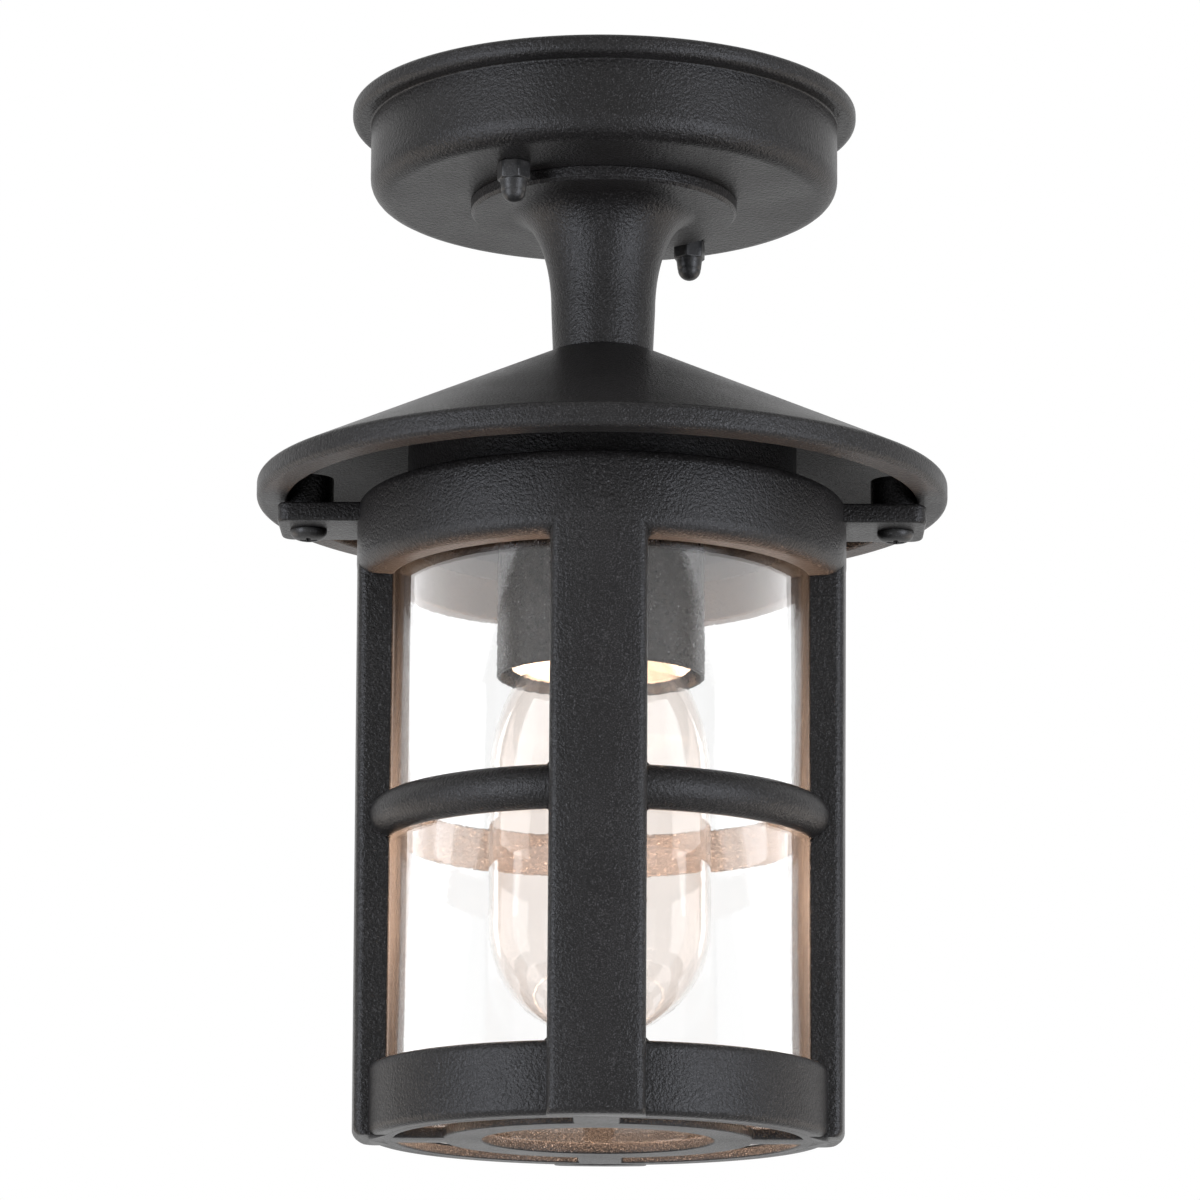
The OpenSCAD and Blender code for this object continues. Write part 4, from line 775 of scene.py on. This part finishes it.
# %% Lampholder cup
cup_r, sheet = 28, 1.2
cup_outline = rounded([(tube_hole, CUP_TOP), (cup_r, CUP_TOP), (cup_r, CUP_LOW), (cup_r - sheet, CUP_LOW),
                       (cup_r - sheet, CUP_TOP - sheet), (tube_hole, CUP_TOP - sheet)],
                      [0.1, 7.0, 0.5, 0.5, 5.8, 0.1], steps=10)
piece("holder_cup", [turned(cup_outline, 200)], "root", "black_sheet", "lampholder_cup")

# %% [markdown]
# ## Lamp glass
# The lamp is a long pear: its neck swells early and then runs straight into a half ball. Blown glass is
# thinner than a millimetre, so the outline goes down the outside and comes back up the inside.


# %% Lamp glass
def lamp_outline(inset):
    """Half outline of the lamp: a skewed cosine from neck to full radius, then a quarter circle."""
    neck_r, neck_h = 12.3, 42
    t = np.linspace(0, 1, 50) ** 1.4
    shoulder = neck_r + (LAMP_R - neck_r) * (1 - np.cos(np.pi * t ** 0.45)) / 2
    q = np.linspace(0, np.pi / 2, 40)
    return np.concatenate([
        [(neck_r - inset, CAP_LOW + 3)], np.stack([shoulder - inset, CAP_LOW - neck_h * t], 1),
        np.stack([(LAMP_R - inset) * np.cos(q), LAMP_LOW + LAMP_R - (LAMP_R - inset) * np.sin(q)], 1)])


outline = np.concatenate([lamp_outline(0), lamp_outline(0.8)[::-1]])
piece("lamp_bulb", [turned(outline, 200)], "lamp", "lamp_glass", "bulb_glass")

# %% [markdown]
# ## Filament
# Real tungsten wire is wound into a fine coil, and the coil hangs in an arch. Here a helix is wound round
# a half circle, and a thin pipe of eight sides follows it, which is enough at this size.


# %% Filament and wires as pipes
def pipe(path, radius, side, count):
    """Rings of points square to a path. Two directions span each ring: the path's direction crossed with
    side, and that crossed with the path's direction again."""
    ahead = np.gradient(path, axis=0)
    ahead /= np.linalg.norm(ahead, axis=1, keepdims=True)
    u = np.cross(ahead, side)
    u /= np.linalg.norm(u, axis=1, keepdims=True)
    v = np.cross(ahead, u)
    a = np.linspace(0, 2 * np.pi, count, endpoint=False)[None, :, None]
    rings = path[:, None] + radius * (np.cos(a) * u[:, None] + np.sin(a) * v[:, None])
    tips = [np.repeat(path[[k]], count, 0)[None] for k in (0, -1)]
    return grid(np.concatenate([tips[0], rings, tips[1]]))


filament_z = (low("filament") + top("filament")) / 2
turns, arch_r, coil_r, wire_r = 70, 11, 0.33, 0.09
t = np.linspace(0, 1, turns * 14)
bend = -np.pi * t
out = np.stack([np.cos(bend), np.sin(bend), 0 * t], 1)
along = np.stack([np.sin(bend), -np.cos(bend), 0 * t], 1)
coil = 2 * np.pi * turns * t[:, None]
path = out * (arch_r + coil_r * np.cos(coil)) + np.array([0, 0, 1]) * coil_r * np.sin(coil)
path = path + [0, 0, filament_z]
piece("glowing_coil", [pipe(path, wire_r, along, count=8)], "lamp", "tungsten", "filament")

# %% [markdown]
# ## Wires in the plate
# From above, the open plate shows the terminal block and three short wires. Each takes the same slack
# route as its CAD solid: straight out of the block, up in a low arch and down into the tube or over to
# the earth screw. Many more points and sides than the solid's make it a smooth, soft-looking wire.


# %% Fixed wires
def slack(a, b, rise, swing, steps=40):
    """From a to b in a straight line, plus a half sine wave upwards and one sideways."""
    t = np.linspace(0, 1, steps)[:, None]
    a, b = np.array(a, float), np.array(b, float)
    return a + (b - a) * t + np.sin(np.pi * t) * [0, swing, rise]


def eased(path, steps=160, passes=6):
    """The same route with even steps, and its corners rubbed down by averaging neighbours."""
    run = np.concatenate([[0], np.cumsum(np.linalg.norm(np.diff(path, axis=0), axis=1))])
    even = np.linspace(0, run[-1], steps)
    path = np.stack([np.interp(even, run, path[:, k]) for k in range(3)], 1)
    for _ in range(passes):
        path[1:-1] = (path[:-2] + 2 * path[1:-1] + path[2:]) / 4
    return path


block_side, pole_z, tube_top, tube_low, shell_z = -26.0, -17.5, -13.5, -101.7, -108.7
cable_r, earth_spot = 1.1, (14, -16.59)
for name, node, pole, side, slot in (("brown_lead", "live_wire", -1, -1, "wire_brown"),
                                     ("blue_lead", "neutral_wire", 0, 1, "wire_blue")):
    y = 4 + pole * 9
    route = np.concatenate([[(block_side - 3, y, pole_z)],
                            slack((block_side + 5, y, pole_z), (0, side * 1.45, tube_top), 8, 0),
                            [(0, side * 1.45, tube_low), (-side * 3.1, side * 1.45, -105.4),
                             (-side * 5.9, 0, shell_z), (-side * 6.99, 0, shell_z)]])
    lead_pipe = pipe(eased(route), cable_r, np.array([0, 1.0, 0]), count=16)
    piece(name, [lead_pipe], "root", slot, node)
route = np.concatenate([[(block_side - 3, 13, pole_z)],
                        slack((block_side + 5, 13, pole_z), (22.5, *earth_spot), 5, 8),
                        [(24.5, *earth_spot)]])
lead_pipe = pipe(eased(route), cable_r, np.array([0, 0, 1.0]), count=16)
piece("green_lead", [lead_pipe], "root", "wire_green", "earth_wire")

# %% [markdown]
# ## Finishes for the CAD nodes that stay
# Nuts, bars, the ceramic holder and the other inner parts have their right shape already. They only take
# a finish: the record says which slot each node belongs to, and the slot's name picks the material.

# %% Dress the remaining nodes
for row in frame["record"]["subparts"]:
    node = nodes[row["node"]]
    for slot in node.material_slots:
        slot.material = by_slot[row["material_slot"]]

# %% [markdown]
# ## Camera
# The photograph looks up at the lantern from a little below it and from far away, so the lines hardly
# converge. The focal length in pixels, the place and the tilt were fitted to the ellipses of the flange,
# the lip, the rings and the plate. A small orbit and roll bring both ears to their places.

# %% Camera
focal_px, frame_px, sensor_mm = 5300, 1200, 36.0
camera = bpy.data.objects.new("camera", bpy.data.cameras.new("camera"))
bpy.context.scene.collection.objects.link(camera)
camera.data.sensor_width = sensor_mm
camera.data.lens = focal_px / frame_px * sensor_mm
orbit, tilt, roll = (math.radians(v) for v in (0.6, 102.15, 0.35))
camera.location = Matrix.Rotation(orbit, 3, "Z") @ Vector((-0.0004, -1.4093, -0.4420))
camera.rotation_euler = (Matrix.Rotation(orbit, 3, "Z") @ Matrix.Rotation(tilt, 3, "X")
                         @ Matrix.Rotation(roll, 3, "Z")).to_euler()
camera.data.clip_start, camera.data.clip_end = 0.05, 50
bpy.context.scene.camera = camera
print("camera lens:", round(camera.data.lens, 1), "mm")

# %% [markdown]
# ## Floor
# The lantern hangs from a ceiling, so the floor lies far below it, and only views from above show it. It
# has to look pale without throwing more light up at the lantern. So its paint gets a glow that only the
# camera, mirrors and glass see, and a shadow on the paint still shows.


# %% Floor
def seen_rays(tree):
    """One for a ray from the camera, from a mirror or through glass, and nought for light that falls."""
    path = tree.nodes.new("ShaderNodeLightPath")
    seen = path.outputs["Is Camera Ray"]
    for name in ("Is Glossy Ray", "Is Transmission Ray"):
        add = tree.nodes.new("ShaderNodeMath")
        add.operation = "MAXIMUM"
        tree.links.new(seen, add.inputs[0])
        tree.links.new(path.outputs[name], add.inputs[1])
        seen = add.outputs[0]
    return seen


def floor_paint(strength):
    """Matt paint plus an emission of the given strength for seen rays."""
    material = finish("pale_floor", (0.8, 0.8, 0.79), (0.76, 0.76, 0.75), rough=0.7, drift_mm=400,
                      grain_mm=30, depth_mm=0.1)
    tree = material.node_tree
    shine, mix, total = (tree.nodes.new(k) for k in
                         ("ShaderNodeEmission", "ShaderNodeMixShader", "ShaderNodeAddShader"))
    shine.inputs["Strength"].default_value = strength
    tree.links.new(seen_rays(tree), mix.inputs["Fac"])
    tree.links.new(shine.outputs[0], mix.inputs[2])
    tree.links.new(tree.nodes["Principled BSDF"].outputs[0], total.inputs[0])
    tree.links.new(mix.outputs[0], total.inputs[1])
    tree.links.new(total.outputs[0], tree.nodes["Material Output"].inputs["Surface"])
    return material


floor_half, floor_level = 6, -1.6
floor_mesh = bpy.data.meshes.new("floor")
floor_mesh.from_pydata([(floor_half * x, floor_half * y, floor_level)
                        for x, y in ((-1, -1), (1, -1), (1, 1), (-1, 1))], [], [(0, 1, 2, 3)])
floor = bpy.data.objects.new("floor", floor_mesh)
bpy.context.scene.collection.objects.link(floor)
floor_mesh.materials.append(floor_paint(0.6))
print("the floor lies", round(CAGE_LOW * MM - floor_level, 2), "m below the lantern")

# %% [markdown]
# ## World
# The photograph's background is white. The world is full white to the camera, to reflections and to
# glass, and about a third of that as light, so that black paint stays black in front of it.


# %% World
def white_room(fill):
    """A world that is full white to camera, mirror and glass rays, and a fill level to the rest."""
    world = bpy.data.worlds.new("white room")
    world.use_nodes = True
    tree = world.node_tree
    back = tree.nodes["Background"]
    level = tree.nodes.new("ShaderNodeMapRange")
    level.inputs["To Min"].default_value = fill
    level.inputs["To Max"].default_value = 1.0
    tree.links.new(seen_rays(tree), level.inputs["Value"])
    tree.links.new(level.outputs["Result"], back.inputs["Strength"])
    back.inputs["Color"].default_value = (1, 1, 1, 1)
    return world


bpy.context.scene.world = white_room(0.32)
print("world:", bpy.context.scene.world.name)

# %% [markdown]
# ## Soft boxes
# Two tall soft boxes in front, left and right, draw the long bluish highlights on the stem, the rings and
# the posts. Each is three boxes inside each other, so that it fades at its edges as cloth does. A warm
# card at each side lifts the faces that look back and down. Neither may show in the glass, where two large
# windows high at the sides draw the grey veil over the cup instead. Light linking keeps them apart.


# %% Soft boxes
def soft_box(name, place, aim, size, watts, colour, receivers, roll=0.0):
    """A rectangular area lamp at place that faces aim, turned by roll about the line to it."""
    lamp = bpy.data.lights.new(name, "AREA")
    lamp.shape, lamp.size, lamp.size_y, lamp.energy = "RECTANGLE", size[0], size[1], watts
    lamp.color = colour
    obj = bpy.data.objects.new(name, lamp)
    obj.location = place
    facing = (Vector(aim) - Vector(place)).to_track_quat("-Z", "Y")
    obj.rotation_euler = (facing @ Quaternion((0, 0, 1), roll)).to_euler()
    obj.light_linking.receiver_collection = receivers
    bpy.context.scene.collection.objects.link(obj)


def lit_only(name, pieces, state="INCLUDE"):
    """A light-linking collection: a lamp that receives it lights only these pieces, or all but these."""
    group = bpy.data.collections.new(name)
    for key in pieces:
        group.objects.link(bpy.data.objects[key])
    for entry in group.collection_objects:
        entry.light_linking.link_state = state
    return group


off_glass = lit_only("all but the glass", ("glass_tube", "lamp_bulb"), "EXCLUDE")
on_glass = lit_only("the glass cylinder alone", ("glass_tube",))
daylight, warm_card, window_white = (0.86, 0.9, 1.0), (1.0, 0.86, 0.74), (0.97, 0.98, 1.0)
window_roll = math.radians(12.7)
for side, watts in ((-1, 8.2), (1, 8.6)):
    for size in ((0.3, 0.8), (0.55, 1.1), (0.8, 1.4)):
        soft_box("soft box", (side * 0.85, -0.66, -0.3), (0, 0, -0.15), size, watts, daylight, off_glass)
    soft_box("bounce card", (side * 0.95, 0.45, -0.62), (0, 0, -0.13), (0.7, 0.7), 3.0, warm_card,
             off_glass)
    soft_box("window of the room", (side * 1.095, 0.414, 0.286), (side * 0.177, 0.66, 0.286), (2.8, 0.9),
             16.0, window_white, on_glass, roll=-side * window_roll)
print("soft boxes:", len(bpy.data.lights))

# %% [markdown]
# ## The lamp's own light
# The glowing coil alone would light the cage, but with many bright specks. A small warm ball of light
# at the same place does it quietly, and no camera, mirror or glass ray sees it. The holder shades the cup,
# and it partly shades the roof, so the cup takes none of this light, and the roof takes less.


# %% The lamp's own light
def lamp_light(name, watts, receivers):
    """A warm ball of light at the filament for some of the pieces."""
    ball = bpy.data.lights.new(name, "POINT")
    ball.energy, ball.color, ball.shadow_soft_size = watts, (1.0, 0.69, 0.5), 0.011
    obj = bpy.data.objects.new(name, ball)
    obj.location = (0, 0, filament_z * MM)
    obj.visible_camera = obj.visible_glossy = obj.visible_transmission = False
    obj.light_linking.receiver_collection = receivers
    bpy.context.scene.collection.objects.link(obj)


lamp_light("lamp light", 10.4, lit_only("all but roof and cup", ("roof_casting", "holder_cup"), "EXCLUDE"))
lamp_light("lamp light on the roof", 4.0, lit_only("the roof alone", ("roof_casting",)))
bpy.context.scene.view_settings.view_transform = "Standard"
